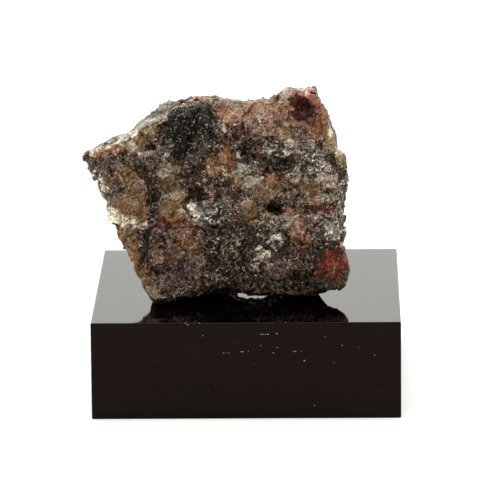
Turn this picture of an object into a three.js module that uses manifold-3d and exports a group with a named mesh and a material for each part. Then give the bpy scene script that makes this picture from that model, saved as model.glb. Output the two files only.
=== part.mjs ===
// Tourmaline in pegmatite: a hand-sized broken stone with three tourmaline crystals set in it,
// resting loose on a polished black acrylic display block. Millimetres, +Z up, front towards -Y.
// The origin is the middle of the block's underside. The stone is one solid, shaped by an outline
// seen from the front, a rough front and back, and planes where pieces broke off. The feldspar
// crystals that stand out of it are fused to it. Each tourmaline is a prism that ends at the same
// broken surface, in a pocket of its own.

import * as THREE from "three";
import Module from "manifold-3d";
import { mergeVertices } from "three/addons/utils/BufferGeometryUtils.js";

const wasm = await Module();
wasm.setup();

const block = { side: 50, height: 16, bevel: 0.25 };

const stone = {
  cell: 1.46, // spacing of the net that the broken surface is drawn on
  frontY: -10.5, // the front face at its foot
  frontLean: 0.075, // how far the front leans back for each millimetre up
  backY: 11.5,
  backLean: 0.12, // the back leans forward by this much
  seat: block.height, // the stone's feet stand on the block
  grow: 0.2, // the net rounds corners off, so the stone starts this much larger
  edgeRound: { depth: 0.9, width: 3.2 }, // the front falls back by this depth towards its edges
  backTaper: { from: 2, slope: 0.2 }, // the sides close in towards the back
  low: [-29, -14.5, 10.4], // the net's corners
  high: [20, 15, 54],
};

// How rough the broken surface is: heights in millimetres, and the size of the swells and flakes.
const rough = {
  swells: { height: 0.3, size: 6.5 },
  largeFlakes: { height: 0.55, size: 7 },
  smallFlakes: { height: 0.42, size: 3.7 },
  underside: { height: 0.25, size: 3 },
};

const pocketGap = 0.3; // clearance between a tourmaline and its pocket

// The stone's outline from the front, as x and z, clockwise from the left tip.
const outline = [
  [-26.6, 40.2], [-23.9, 41.8], [-20.8, 43.2], [-18.2, 44.5], [-16.4, 46.3], [-13.9, 48],
  [-11.3, 49.2], [-6.1, 49.7], [-4.4, 49], [-1.9, 48.6], [2.4, 49.1], [4.6, 49.3],
  [7.2, 50.8], [9.7, 50.6], [11.2, 51.4], [11.7, 49.2], [13.2, 46.6], [14, 42.6],
  [15.7, 39.2], [16.3, 35.3], [15.4, 32.1], [15.7, 29], [15.1, 24.8], [16.3, 20.9],
  [15.2, 18.4], [13, 16.6], [12, 12], [-15, 12], [-15.8, 17.3], [-18.2, 21.7],
  [-20.6, 25.4], [-21.2, 27.8], [-23, 28.9], [-22.4, 30.9], [-24.8, 36], [-25.5, 38.2],
];
const topFall = { slope: 0.33, from: -7, low: 24, high: 40 }; // the top falls away towards the back

// Planes where a piece broke off: a point on the plane and the way it faces.
const breaks = [
  { name: "upper left ledge", at: [-15.8, -3, 45.9], facing: [-0.36, -0.21, 0.91] },
  { name: "left of the front", at: [-16.5, -9.1, 34], facing: [-0.3, -0.94, 0.12] },
  { name: "upper right of the front", at: [8.5, -8.8, 40], facing: [0.26, -0.95, 0.2] },
  { name: "lower right of the front", at: [9.5, -10, 22], facing: [0.3, -0.94, -0.12] },
  { name: "right side", at: [15.3, -8.2, 32], facing: [0.93, -0.36, 0.04] },
  { name: "lower left side", at: [-17.6, -9.6, 26.5], facing: [-0.72, -0.68, -0.12] },
  { name: "lower right corner", at: [14.3, -8.9, 18.2], facing: [0.3, -0.5, -0.81] },
  { name: "top of the back", at: [0, 3, 47], facing: [0.06, 0.55, 0.83] },
  { name: "left of the back", at: [-20, 3.5, 38], facing: [-0.62, 0.77, 0.12] },
  { name: "right of the back", at: [13.5, 5, 36], facing: [0.74, 0.66, 0.1] },
  { name: "foot of the back", at: [0, 3.6, 16], facing: [0.05, 0.8, -0.6] },
  { name: "upper left of the back", at: [-12, 3, 44.5], facing: [-0.4, 0.62, 0.68] },
];

// Swells of the front face, and hollows in it: x and z of the middle, half sizes across and up,
// turn in degrees, and height, which is negative for a hollow.
const frontRelief = [
  { name: "ledge under the brown block", x: -11.5, z: 19.5, across: 4.6, up: 2, turn: 8, height: -0.8 },
  { name: "notch beside the tan block", x: -8, z: 33.4, across: 1.8, up: 1.3, turn: -30, height: -1.2 },
  { name: "pit", x: 5, z: 31.2, across: 1.7, up: 1.2, turn: 5, height: -1.6 },
  { name: "hollow of the horn", x: 9.4, z: 47.1, across: 2.4, up: 2.6, turn: 20, height: -1.5 },
  { name: "hollow right of the middle", x: 6.5, z: 39.3, across: 2.8, up: 1.7, turn: 8, height: -0.9 },
  { name: "swell at the top", x: 0.5, z: 45.5, across: 4.5, up: 2.6, turn: 0, height: 0.6 },
  { name: "swell at the right", x: 12, z: 33, across: 2.6, up: 5, turn: 6, height: 0.6 },
  { name: "swell at the lower right", x: 6, z: 23, across: 4.8, up: 3.2, turn: 22, height: 0.8 },
  { name: "hollow of the lower middle", x: -1.5, z: 27.5, across: 2.6, up: 2.2, turn: -25, height: -0.8 },
  { name: "foot of the black crystal", x: -10.4, z: 39.4, across: 1.5, up: 1.4, turn: 15, height: -0.9 },
  { name: "swell at the left tip", x: -22, z: 38.6, across: 2.6, up: 2, turn: 30, height: 0.5 },
];

// The biggest feldspar crystals of the front: x and z of the middle, width, height, turn in degrees
// and how far they stand proud.
const largeCrystals = [
  { name: "tan block", x: -11.6, z: 31, wide: 3.4, high: 5.4, turn: 12, proud: 0.9 },
  { name: "brown block", x: -10.4, z: 25.7, wide: 4.8, high: 5, turn: -12, proud: 0.8 },
  { name: "left brown block", x: -19.8, z: 31, wide: 5.2, high: 4.6, turn: -22, proud: 0.9 },
  { name: "cream lump on the left edge", x: -21.6, z: 28.9, wide: 3, high: 1.5, turn: 8, proud: 0.7 },
  { name: "grey block at the foot", x: -10.4, z: 20.2, wide: 6.4, high: 3.6, turn: -8, proud: 0.5 },
  { name: "pink block under the top", x: 1.8, z: 44.4, wide: 4.2, high: 3.2, turn: 24, proud: 0.6 },
  { name: "pale block of the lower middle", x: 1.4, z: 24.2, wide: 3.4, high: 2.8, turn: 30, proud: 0.6 },
  { name: "block right of the middle", x: 8.4, z: 35.4, wide: 4.2, high: 3, turn: -18, proud: 0.7 },
  { name: "block beside the red crystal", x: 8.2, z: 20.4, wide: 3.8, high: 4, turn: 16, proud: 0.5 },
];

// The lower edge of the front face, as x and z: it arches between the stone's two front feet.
const frontLip = [
  [-15, 16.2], [-13.2, 16.4], [-10, 17.2], [-7, 18], [-3.4, 18.1], [-0.5, 17.8],
  [2.4, 17.4], [5, 16.8], [7.5, 16.4], [12, 16.5],
];
const undercut = { slope: 1.2, deepest: 2.8 }; // below that edge the front steps back this steeply

// The feet and the arch: how far the underside stands above the block.
const underside = { lip: 0.45, rise: 1.3, depth: 5, footDrop: 2.3 };
const feet = [
  { name: "left", x: -14.6, y: -9.4, across: 2.6, deep: 3 },
  { name: "right", x: 9.8, y: -7.4, across: 4, deep: 2.7 },
  { name: "back left", x: -9, y: 1.5, across: 4.6, deep: 3.4 },
  { name: "back right", x: 9.6, y: 1.5, across: 3.4, deep: 3.4 },
];
const archway = { x: 0.8, across: 3.4, from: -8.4, slope: 0.265 }; // daylight shows through here

// Tourmalines: the prism's middle and axis, its outline in millimetres across that axis (sideways,
// and out of the face), and its length.
const tourmalines = [
  {
    name: "black_tourmaline", colour: 0x17191a, roughness: 0.35,
    middle: [-9.2, -8.2, 44], axis: [0.1, 0.06, 1], length: 8.6,
    section: [[-3.1, -4], [-1.2, -4.6], [1.4, -4.6], [3.1, -4], [2.9, 1.4], [0.6, 3.4], [-1.6, 3.4], [-3, 1.6]],
    taper: 0.6,
  },
  {
    name: "red_brown_tourmaline", colour: 0x5a1d12, roughness: 0.2,
    middle: [9.6, -6.4, 47], axis: [0.35, 0.1, 1], length: 5.6,
    section: [[-2.2, -2.5], [-0.9, -3.4], [1, -3.4], [2.1, -2.3], [1.9, 1.2], [0, 2.5], [-1.9, 1.2]],
    taper: 0.75,
  },
  {
    name: "red_tourmaline", colour: 0x8c3328, roughness: 0.3,
    middle: [14, -7.4, 20.9], axis: [0.1, -0.06, 1], length: 6.2,
    section: [[-2.6, -3.6], [-0.6, -4.4], [2.4, -4.2], [4.4, -1.6], [4.2, 1.4], [0.4, 2.8], [-2.2, 1.6]],
    taper: 0.75,
  },
];

// The smaller feldspar crystals fused to the stone: how many on each side, and their sizes.
const crystals = { seed: 23, front: 33, back: 17, smallest: 1.7, largest: 3.4, proud: 0.6 };

const clamp = (value, low, high) => Math.min(high, Math.max(low, value));
const smooth = (t) => clamp(t, 0, 1) ** 2 * (3 - 2 * clamp(t, 0, 1));
const unit = (v) => new THREE.Vector3(...v).normalize();

// A repeatable stream of numbers from 0 to 1.
function randomStream(seed) {
  let state = seed >>> 0;
  return () => {
    state = (state + 0x6d2b79f5) >>> 0;
    let t = Math.imul(state ^ (state >>> 15), 1 | state);
    t = (t + Math.imul(t ^ (t >>> 7), 61 | t)) ^ t;
    return ((t ^ (t >>> 14)) >>> 0) / 4294967296;
  };
}

// A fixed number from 0 to 1 for a whole-number place.
function lattice(i, j, k, seed) {
  let h = Math.imul(i, 374761393) ^ Math.imul(j, 668265263) ^ Math.imul(k, 1274126177) ^ Math.imul(seed, 97);
  h = Math.imul(h ^ (h >>> 13), 1103515245);
  h = Math.imul(h ^ (h >>> 15), 2246822519);
  return ((h ^ (h >>> 16)) >>> 0) / 4294967296;
}

// Smooth noise from -1 to 1.
function noise(x, y, z, size, seed) {
  const p = [x / size, y / size, z / size];
  const whole = p.map(Math.floor);
  const [u, v, w] = p.map((value, n) => smooth(value - whole[n]));
  let sum = 0;
  for (let a = 0; a < 2; a++)
    for (let b = 0; b < 2; b++)
      for (let c = 0; c < 2; c++) {
        const share = (a ? u : 1 - u) * (b ? v : 1 - v) * (c ? w : 1 - w);
        sum += share * lattice(whole[0] + a, whole[1] + b, whole[2] + c, seed);
      }
  return 2 * sum - 1;
}

// Broken flakes: each cell of the stone is a little plane of its own tilt, from about -1 to 1.
function flakes(x, y, z, size, seed) {
  const whole = [x, y, z].map((value) => Math.floor(value / size));
  let nearest = Infinity;
  let height = 0;
  for (let a = -1; a < 2; a++)
    for (let b = -1; b < 2; b++)
      for (let c = -1; c < 2; c++) {
        const cell = [whole[0] + a, whole[1] + b, whole[2] + c];
        const from = [x, y, z].map((value, n) => value / size - cell[n] - lattice(...cell, seed + n));
        const distance = Math.hypot(...from);
        if (distance < nearest) {
          nearest = distance;
          height = from.reduce((sum, value, n) => sum + value * (2 * lattice(...cell, seed + 5 + n) - 1), 0);
        }
      }
  return 1.4 * height;
}

// Signed distance to the outline in the XZ plane, negative inside.
function outlineDistance(x, z) {
  let nearest = Infinity;
  let inside = false;
  outline.forEach(([x1, z1], n) => {
    const [x2, z2] = outline[(n + 1) % outline.length];
    const [sideX, sideZ] = [x2 - x1, z2 - z1];
    const t = clamp(((x - x1) * sideX + (z - z1) * sideZ) / (sideX ** 2 + sideZ ** 2), 0, 1);
    nearest = Math.min(nearest, Math.hypot(x - x1 - t * sideX, z - z1 - t * sideZ));
    const crosses = z1 > z !== z2 > z && x < x1 + ((z - z1) / sideZ) * sideX;
    if (crosses) inside = !inside;
  });
  return inside ? -nearest : nearest;
}

// The height at x along a list of [x, height] points.
function along(points, x) {
  if (x <= points[0][0]) return points[0][1];
  for (let n = 1; n < points.length; n++) {
    const [x1, h1] = points[n - 1];
    const [x2, h2] = points[n];
    if (x <= x2) return h1 + ((x - x1) / (x2 - x1)) * (h2 - h1);
  }
  return points.at(-1)[1];
}

// 1 in the middle of a patch of the front face, falling to 0 with a steep rim.
function patch({ x, z, across, up, turn }, px, pz) {
  const angle = THREE.MathUtils.degToRad(turn);
  const right = (px - x) * Math.cos(angle) + (pz - z) * Math.sin(angle);
  const high = (pz - z) * Math.cos(angle) - (px - x) * Math.sin(angle);
  const r = (Math.abs(right / across) ** 3 + Math.abs(high / up) ** 3) ** (1 / 3);
  return smooth((1.2 - r) / 0.4);
}

function frontFace(x, z) {
  const relief = frontRelief.reduce((sum, item) => sum + item.height * patch(item, x, z), 0);
  const stepBack = Math.min(undercut.deepest, undercut.slope * Math.max(0, along(frontLip, x) - z));
  return stone.frontY + stone.frontLean * (z - stone.seat) - relief + stepBack;
}

// Height of the stone's underside. It goes below the block's top at the feet, which are cut flat later.
function undersideHeight(x, y) {
  const passage = Math.exp(-(((x - archway.x) / archway.across) ** 6));
  const roof = underside.lip + archway.slope * Math.max(0, y - archway.from);
  let rise = underside.lip + (underside.rise - underside.lip) * smooth((y - archway.from) / underside.depth);
  for (const foot of feet) {
    const r = Math.hypot((x - foot.x) / foot.across, (y - foot.y) / foot.deep);
    rise -= underside.footDrop * smooth((1.3 - r) / 0.7);
  }
  return stone.seat + rise + (roof - rise) * passage;
}

// Roughly the distance to the stone's surface, negative inside.
function stoneDistance(x, y, z) {
  const upper = smooth((z - topFall.low) / (topFall.high - topFall.low));
  const highest = z + topFall.slope * Math.max(0, y - topFall.from) * upper;
  const edge = outlineDistance(x, highest);
  const { edgeRound, backTaper } = stone;
  const fallBack = edgeRound.depth * smooth(1 + edge / edgeRound.width);
  let distance = edge + backTaper.slope * Math.max(0, y - backTaper.from);
  distance = Math.max(distance, frontFace(x, z) + fallBack - y);
  distance = Math.max(distance, y - stone.backY + stone.backLean * (z - stone.seat));
  for (const { at, facing } of breaks) {
    const plane = (x - at[0]) * facing[0] + (y - at[1]) * facing[1] + (z - at[2]) * facing[2];
    distance = Math.max(distance, plane / Math.hypot(...facing));
  }
  distance += rough.swells.height * noise(x, y, z, rough.swells.size, 1) - stone.grow;
  distance += rough.largeFlakes.height * flakes(x, y, z, rough.largeFlakes.size, 3);
  distance += rough.smallFlakes.height * flakes(x, y, z, rough.smallFlakes.size, 4);
  const floor = undersideHeight(x, y) + rough.underside.height * noise(x, y, z, rough.underside.size, 7);
  return Math.max(distance, floor - z);
}

// Draws the surface where distance is 0, one vertex for each cell of the net that it passes through.
function surfaceNet(distance, low, high, cell) {
  const count = low.map((value, n) => Math.ceil((high[n] - value) / cell) + 1);
  const at = (i, j, k) => (k * count[1] + j) * count[0] + i;
  const values = new Float64Array(count[0] * count[1] * count[2]);
  for (let k = 0; k < count[2]; k++)
    for (let j = 0; j < count[1]; j++)
      for (let i = 0; i < count[0]; i++)
        values[at(i, j, k)] = distance(low[0] + i * cell, low[1] + j * cell, low[2] + k * cell);
  fillPinches(values, count, at);
  const vertexOf = new Int32Array(values.length).fill(-1);
  const positions = [];
  const triangles = [];
  for (let k = 0; k < count[2] - 1; k++)
    for (let j = 0; j < count[1] - 1; j++)
      for (let i = 0; i < count[0] - 1; i++) {
        const crossings = cellCrossings(values, at, i, j, k);
        if (!crossings.length) continue;
        const points = crossings.map((point) => point.multiplyScalar(cell).add(new THREE.Vector3(...low)));
        const middle = sharpPoint(points, distance);
        vertexOf[at(i, j, k)] = positions.length / 3;
        positions.push(middle.x, middle.y, middle.z);
      }
  const quad = (a, b, c, d, turned) => {
    if (turned) triangles.push(a, b, c, a, c, d);
    else triangles.push(a, c, b, a, d, c);
  };
  for (let k = 1; k < count[2] - 1; k++)
    for (let j = 1; j < count[1] - 1; j++)
      for (let i = 1; i < count[0] - 1; i++) {
        const here = values[at(i, j, k)] < 0;
        const v = (a, b, c) => vertexOf[at(i - a, j - b, k - c)];
        if (here !== values[at(i + 1, j, k)] < 0) quad(v(0, 0, 0), v(0, 1, 0), v(0, 1, 1), v(0, 0, 1), here);
        if (here !== values[at(i, j + 1, k)] < 0) quad(v(0, 0, 0), v(0, 0, 1), v(1, 0, 1), v(1, 0, 0), here);
        if (here !== values[at(i, j, k + 1)] < 0) quad(v(0, 0, 0), v(1, 0, 0), v(1, 1, 0), v(0, 1, 0), here);
      }
  return { positions, triangles };
}

// The point that lies nearest to the planes of the surface at the given points, so that edges stay sharp.
function sharpPoint(points, distance) {
  const middle = new THREE.Vector3();
  points.forEach((point) => middle.addScaledVector(point, 1 / points.length));
  const facing = points.map((point) => slopeOf(distance, point, 0.12));
  const best = middle.clone();
  const share = 1.5 / points.length; // a little more than the mean, so that it settles sooner
  for (let round = 0; round < 14; round++) {
    const step = new THREE.Vector3();
    points.forEach((point, n) => step.addScaledVector(facing[n], facing[n].dot(point.clone().sub(best))));
    best.addScaledVector(step, share);
  }
  const furthest = 0.45 * stone.cell; // it stays in its own cell
  return middle.add(best.sub(middle).clampLength(0, furthest));
}

// The way a distance grows fastest at a point.
function slopeOf(distance, { x, y, z }, h) {
  return new THREE.Vector3(
    distance(x + h, y, z) - distance(x - h, y, z),
    distance(x, y + h, z) - distance(x, y - h, z),
    distance(x, y, z + h) - distance(x, y, z - h),
  ).normalize();
}

// The places, in cells, where the surface crosses the edges of one cell.
function cellCrossings(values, at, i, j, k) {
  const corners = [];
  for (let n = 0; n < 8; n++) corners.push(new THREE.Vector3(n & 1, (n >> 1) & 1, n >> 2));
  const found = [];
  for (let a = 0; a < 8; a++)
    for (const axis of [1, 2, 4]) {
      const b = a | axis;
      if (b === a) continue;
      const [from, to] = [a, b].map((n) => corners[n].clone().add(new THREE.Vector3(i, j, k)));
      const start = values[at(from.x, from.y, from.z)];
      const end = values[at(to.x, to.y, to.z)];
      if (start < 0 !== end < 0) found.push(from.lerp(to, start / (start - end)));
    }
  return found;
}

// Where two bodies would touch along a line or at a point only, the net is filled in, so it stays one skin.
function fillPinches(values, count, at) {
  const justInside = -0.05;
  const sides = [[1, 0, 0], [0, 1, 0], [0, 0, 1]];
  for (let changed = true; changed; ) {
    changed = false;
    for (let k = 0; k < count[2] - 1; k++)
      for (let j = 0; j < count[1] - 1; j++)
        for (let i = 0; i < count[0] - 1; i++)
          for (let n = 0; n < 3; n++) {
            const s = sides[n];
            const t = sides[(n + 1) % 3];
            const corner = [at(i, j, k), at(i + s[0], j + s[1], k + s[2]),
              at(i + s[0] + t[0], j + s[1] + t[1], k + s[2] + t[2]), at(i + t[0], j + t[1], k + t[2])];
            const [p, q, r, o] = corner.map((index) => values[index] < 0);
            if (p !== r || q !== o || p === q) continue;
            values[corner[p ? 1 : 0]] = justInside;
            changed = true;
          }
  }
}

function solidOf(positions, triangles) {
  return new wasm.Manifold(new wasm.Mesh({
    numProp: 3,
    vertProperties: new Float32Array(positions),
    triVerts: new Uint32Array(triangles),
  }));
}

function solidOfGeometry(geometry) {
  geometry.deleteAttribute("normal");
  geometry.deleteAttribute("uv");
  const merged = mergeVertices(geometry, 1e-4);
  return solidOf(merged.getAttribute("position").array, merged.index.array);
}

function meshOf(solid, name, colour, roughness) {
  const mesh = solid.getMesh();
  const positions = new Float32Array(mesh.numVert * 3);
  for (let n = 0; n < mesh.numVert; n++)
    positions.set(mesh.vertProperties.subarray(n * mesh.numProp, n * mesh.numProp + 3), n * 3);
  const geometry = new THREE.BufferGeometry();
  geometry.setAttribute("position", new THREE.BufferAttribute(positions, 3));
  geometry.setIndex(new THREE.BufferAttribute(mesh.triVerts, 1));
  const finish = { color: colour, roughness, metalness: 0, flatShading: true };
  const made = new THREE.Mesh(geometry, new THREE.MeshStandardMaterial(finish));
  made.name = name;
  return made;
}

// The biggest body of a solid, without the crumbs that a cut leaves.
function largestBody(solid) {
  return solid.decompose().reduce((best, body) => (body.volume() > best.volume() ? body : best));
}

function displayBlock() {
  const inner = block.side - 2 * block.bevel;
  const square = new THREE.Shape([
    new THREE.Vector2(-inner / 2, -inner / 2), new THREE.Vector2(inner / 2, -inner / 2),
    new THREE.Vector2(inner / 2, inner / 2), new THREE.Vector2(-inner / 2, inner / 2),
  ]);
  const geometry = new THREE.ExtrudeGeometry(square, {
    depth: block.height - 2 * block.bevel, bevelEnabled: true,
    bevelThickness: block.bevel, bevelSize: block.bevel, bevelSegments: 1,
  });
  geometry.translate(0, 0, block.bevel);
  const material = new THREE.MeshStandardMaterial({ color: 0x14100f, roughness: 0.05, metalness: 0 });
  const mesh = new THREE.Mesh(geometry, material);
  mesh.name = "display_block";
  return mesh;
}

// A prism with a tapered foot, grown by a margin for its pocket.
function prism({ middle, axis, length, section, taper }, margin) {
  const up = unit(axis);
  const out = new THREE.Vector3(0, 1, 0).addScaledVector(up, -up.y).normalize();
  const side = new THREE.Vector3().crossVectors(out, up);
  const ring = (at, scale) => section.map(([across, deep]) => {
    const size = scale * (1 + margin / Math.hypot(across, deep));
    return new THREE.Vector3(...middle).addScaledVector(up, at)
      .addScaledVector(side, across * size).addScaledVector(out, deep * size);
  });
  const rings = [ring(-length / 2 - margin, taper), ring(-length / 4, 1), ring(length / 2 + margin, 0.92)];
  const sides = section.length;
  const top = (rings.length - 1) * sides;
  const triangles = [];
  for (let low = 0; low < top; low += sides)
    for (let n = 0; n < sides; n++) {
      const next = (n + 1) % sides;
      triangles.push(low + n, low + next, low + next + sides, low + n, low + next + sides, low + n + sides);
    }
  for (let n = 1; n + 1 < sides; n++) triangles.push(0, n + 1, n, top, top + n, top + n + 1);
  return solidOf(rings.flat().flatMap((point) => point.toArray()), triangles);
}

// One feldspar crystal, a skewed block with 4 to 6 sides that is sunk into the surface at a point.
function crystal({ sides, wide, high, turn, tilt, skew, proud }, point, outward) {
  const deep = 0.8 * Math.min(wide, high) + proud;
  const right = new THREE.Vector3(0, 0, 1).cross(outward).negate().normalize();
  const up = new THREE.Vector3().crossVectors(outward, right).normalize();
  const geometry = new THREE.CylinderGeometry(0.66, 0.76, deep, sides);
  geometry.rotateX(Math.PI / 2);
  geometry.rotateZ(Math.PI / sides);
  geometry.scale(wide, high, 1);
  geometry.translate(0, 0, proud - deep / 2);
  geometry.applyMatrix4(new THREE.Matrix4().makeShear(0, 0, skew, 0, 0.5 * skew, -0.4 * skew));
  geometry.applyMatrix4(new THREE.Matrix4().makeRotationFromEuler(new THREE.Euler(...tilt, turn)));
  geometry.applyMatrix4(new THREE.Matrix4().makeBasis(right, up, outward));
  geometry.translate(point.x, point.y, point.z);
  return solidOfGeometry(geometry);
}

// A point on the stone's surface, straight in along Y from the front or the back, or null where there is none.
function surfacePoint(x, z, fromBack) {
  const [start, step] = fromBack ? [stone.high[1], -0.2] : [stone.low[1], 0.2];
  for (let y = start; Math.abs(y) <= Math.abs(start) + 0.2; y += step)
    if (stoneDistance(x, y, z) < 0) return new THREE.Vector3(x, y, z);
  return null;
}

function smallCrystals(fromBack, count, random) {
  const made = [];
  const centred = (range) => range * (2 * random() - 1);
  while (made.length < count) {
    const x = -25 + 41 * random();
    const z = 18.5 + 31 * random();
    const size = crystals.smallest + (crystals.largest - crystals.smallest) * random() ** 1.5;
    const shape = {
      sides: 4 + Math.floor(3 * random()), wide: size * (1 + 0.4 * random()), high: size, turn: centred(1.6),
      tilt: [centred(0.3), centred(0.3)], skew: centred(0.4), proud: crystals.proud * (0.7 + 0.7 * random()),
    };
    if (outlineDistance(x, z) > -0.9 * size) continue;
    if (!fromBack && tourmalines.some(({ middle }) => Math.hypot(x - middle[0], z - middle[2]) < 4.8)) continue;
    if (!fromBack && largeCrystals.some((large) => Math.hypot(x - large.x, z - large.z) < 3)) continue;
    const point = surfacePoint(x, z, fromBack);
    if (point) made.push(crystal(shape, point, slopeOf(stoneDistance, point, 1.2)));
  }
  return made;
}

function bigCrystals() {
  return largeCrystals.map(({ x, z, wide, high, turn, proud }, n) => {
    const point = surfacePoint(x, z, false);
    const lean = n % 2 ? 0.08 : -0.08;
    const turned = THREE.MathUtils.degToRad(turn);
    const shape = { sides: 4, wide, high, turn: turned, tilt: [lean, -lean], skew: 2.5 * lean, proud };
    return crystal(shape, point, slopeOf(stoneDistance, point, 2));
  });
}

function build() {
  const group = new THREE.Group();
  group.add(displayBlock());
  const net = surfaceNet(stoneDistance, stone.low, stone.high, stone.cell);
  let matrix = largestBody(solidOf(net.positions, net.triangles));
  const random = randomStream(crystals.seed);
  const front = smallCrystals(false, crystals.front, random);
  const back = smallCrystals(true, crystals.back, random);
  for (const added of [...bigCrystals(), ...front, ...back]) matrix = matrix.add(added);
  const belowSeat = new THREE.BoxGeometry(80, 80, 20).translate(0, 0, stone.seat - 10);
  matrix = largestBody(matrix.subtract(solidOfGeometry(belowSeat)));
  for (const item of tourmalines) {
    const set = largestBody(matrix.intersect(prism(item, 0)));
    matrix = largestBody(matrix.subtract(prism(item, pocketGap)));
    group.add(meshOf(set, item.name, item.colour, item.roughness));
  }
  group.add(meshOf(matrix, "pegmatite_matrix", 0x6b5d52, 0.75));
  return group;
}

export default build();
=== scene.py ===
import math
import bmesh
import bpy
import numpy as np
from mathutils import Matrix, Vector


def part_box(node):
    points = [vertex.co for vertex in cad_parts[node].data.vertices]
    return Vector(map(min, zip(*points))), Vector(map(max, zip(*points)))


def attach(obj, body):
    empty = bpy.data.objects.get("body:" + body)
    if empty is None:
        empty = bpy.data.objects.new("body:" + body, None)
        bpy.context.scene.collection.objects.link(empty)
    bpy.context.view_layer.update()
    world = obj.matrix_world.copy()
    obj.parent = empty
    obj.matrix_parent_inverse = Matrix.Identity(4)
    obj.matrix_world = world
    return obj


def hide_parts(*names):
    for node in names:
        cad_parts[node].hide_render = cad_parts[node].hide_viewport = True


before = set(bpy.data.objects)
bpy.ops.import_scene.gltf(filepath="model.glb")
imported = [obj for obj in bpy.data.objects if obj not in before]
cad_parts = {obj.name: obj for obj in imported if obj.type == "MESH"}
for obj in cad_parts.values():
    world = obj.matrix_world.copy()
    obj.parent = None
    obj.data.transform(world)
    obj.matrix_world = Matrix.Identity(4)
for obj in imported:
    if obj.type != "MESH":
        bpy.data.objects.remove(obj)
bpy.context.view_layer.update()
blockLow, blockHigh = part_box("display_block")
stoneLow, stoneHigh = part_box("pegmatite_matrix")
mm = 0.001
seatHeight = blockHigh.z  # the stone stands at this height
print("frame loaded, stone", [round(v / mm, 1) for v in stoneHigh - stoneLow], "mm")

hashFactors = (374761393, 668265263, 1274126177)  # large odd numbers, one for each axis
hashRounds = ((13, 1103515245), (15, 2246822519))  # each shifts the bits and then spreads them


# Shared numbers for rough stone
def latticeNumbers(cells, seed):
    # one fixed number from 0 to 1 for each whole-number cell
    c = cells.astype(np.int64).astype(np.uint32)
    h = np.full(c.shape[:-1], (seed * 2654435761 + 97) % 2**32, np.uint32)
    for axis, factor in enumerate(hashFactors):
        h ^= c[..., axis] * np.uint32(factor)
    for shift, factor in hashRounds:
        h = (h ^ (h >> np.uint32(shift))) * np.uint32(factor)
    h ^= h >> np.uint32(16)
    return h.astype(np.float64) / 2**32


def softNoise(points, size, seed):
    # smooth noise from -1 to 1, with swells of about this size
    q = points / size
    whole = np.floor(q)
    f = q - whole
    f = f * f * (3 - 2 * f)
    total = np.zeros(len(q))
    for corner in np.ndindex(2, 2, 2):
        share = np.ones(len(q))
        for axis in range(3):
            share *= f[:, axis] if corner[axis] else 1 - f[:, axis]
        total += share * latticeNumbers(whole + np.array(corner), seed)
    return 2 * total - 1


def layeredNoise(points, size, seed, layers=3):
    total = np.zeros(len(points))
    weight = 1.0
    reach = 0.0
    for layer in range(layers):
        total += weight * softNoise(points, size / 2**layer, seed + 17 * layer)
        reach += weight
        weight *= 0.55
    return total / reach


def wanderOf(points, size, seed, layers=2):
    # a soft drift for every point, in x, y and z
    return np.stack([layeredNoise(points, size, seed + n, layers) for n in range(3)], 1)


def grainsAt(points, size, seed, blocky=2.0):
    # the grain that each point belongs to: its cell, the way from its middle, and how near its rim is
    q = points / size
    whole = np.floor(q)
    nearest = np.full(len(q), np.inf)
    second = np.full(len(q), np.inf)
    cell = np.zeros((len(q), 3))
    away = np.zeros((len(q), 3))
    for step in np.ndindex(3, 3, 3):
        here = whole + np.array(step) - 1
        middle = here + np.stack([latticeNumbers(here, seed + n) for n in range(3)], 1)
        offset = q - middle
        distance = (np.abs(offset) ** blocky).sum(1) ** (1 / blocky)
        closer = distance < nearest
        second = np.where(closer, nearest, np.minimum(second, distance))
        nearest = np.where(closer, distance, nearest)
        cell[closer] = here[closer]
        away[closer] = offset[closer]
    rim = (second - nearest) * size
    return {"cell": cell, "away": away * size, "middle": points - away * size, "rim": rim}


def grainNumber(grains, seed):
    return latticeNumbers(grains["cell"], seed)


def grainSwing(grains, seed):
    return 2 * grainNumber(grains, seed) - 1


def rising(values, start, width):
    # 0 up to the start, and 1 from one width past it
    return np.clip((values - start) / width, 0, 1)


def falling(values, end, width):
    # 1 up to one width before the end, and 0 past it
    return np.clip((end - values) / width, 0, 1)


def bell(distance, width=1, power=2):
    return np.exp(-((distance / width) ** power))


def blend(a, b, share):
    return a * (1 - share[:, None]) + b * share[:, None]


# Meshes
def newObject(name, mesh):
    made = bpy.data.objects.new(name, mesh)
    bpy.context.scene.collection.objects.link(made)
    return made


def mergedCopy(nodeName, name):
    # a closed copy of a node of the frame
    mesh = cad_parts[nodeName].data.copy()
    mesh.materials.clear()
    work = bmesh.new()
    work.from_mesh(mesh)
    bmesh.ops.remove_doubles(work, verts=work.verts, dist=2e-6)
    bmesh.ops.dissolve_degenerate(work, edges=work.edges, dist=1e-7)
    for face in work.faces:
        face.smooth = False
    work.to_mesh(mesh)
    work.free()
    mesh.name = name
    return newObject(name, mesh)


def settle(made):
    # the finished mesh of an object, with its modifiers applied
    graph = bpy.context.evaluated_depsgraph_get()
    graph.update()
    mesh = bpy.data.meshes.new_from_object(made.evaluated_get(graph))
    made.modifiers.clear()
    old = made.data
    made.data = mesh
    bpy.data.meshes.remove(old)
    mesh.name = made.name
    return made


def voxelSkin(made, voxel):
    skin = made.modifiers.new("skin", "REMESH")
    skin.mode = "VOXEL"
    skin.voxel_size = voxel
    skin.adaptivity = 0
    return settle(made)


def perPoint(count, collection, kind):
    flat = np.zeros(count * 3)
    collection.foreach_get(kind, flat)
    return flat.reshape(-1, 3)


def pointsOf(mesh):
    return perPoint(len(mesh.vertices), mesh.vertices, "co")


def normalsOf(mesh):
    return perPoint(len(mesh.vertices), mesh.vertex_normals, "vector")


def movePoints(mesh, points):
    mesh.vertices.foreach_set("co", points.ravel())
    mesh.update()


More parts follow.
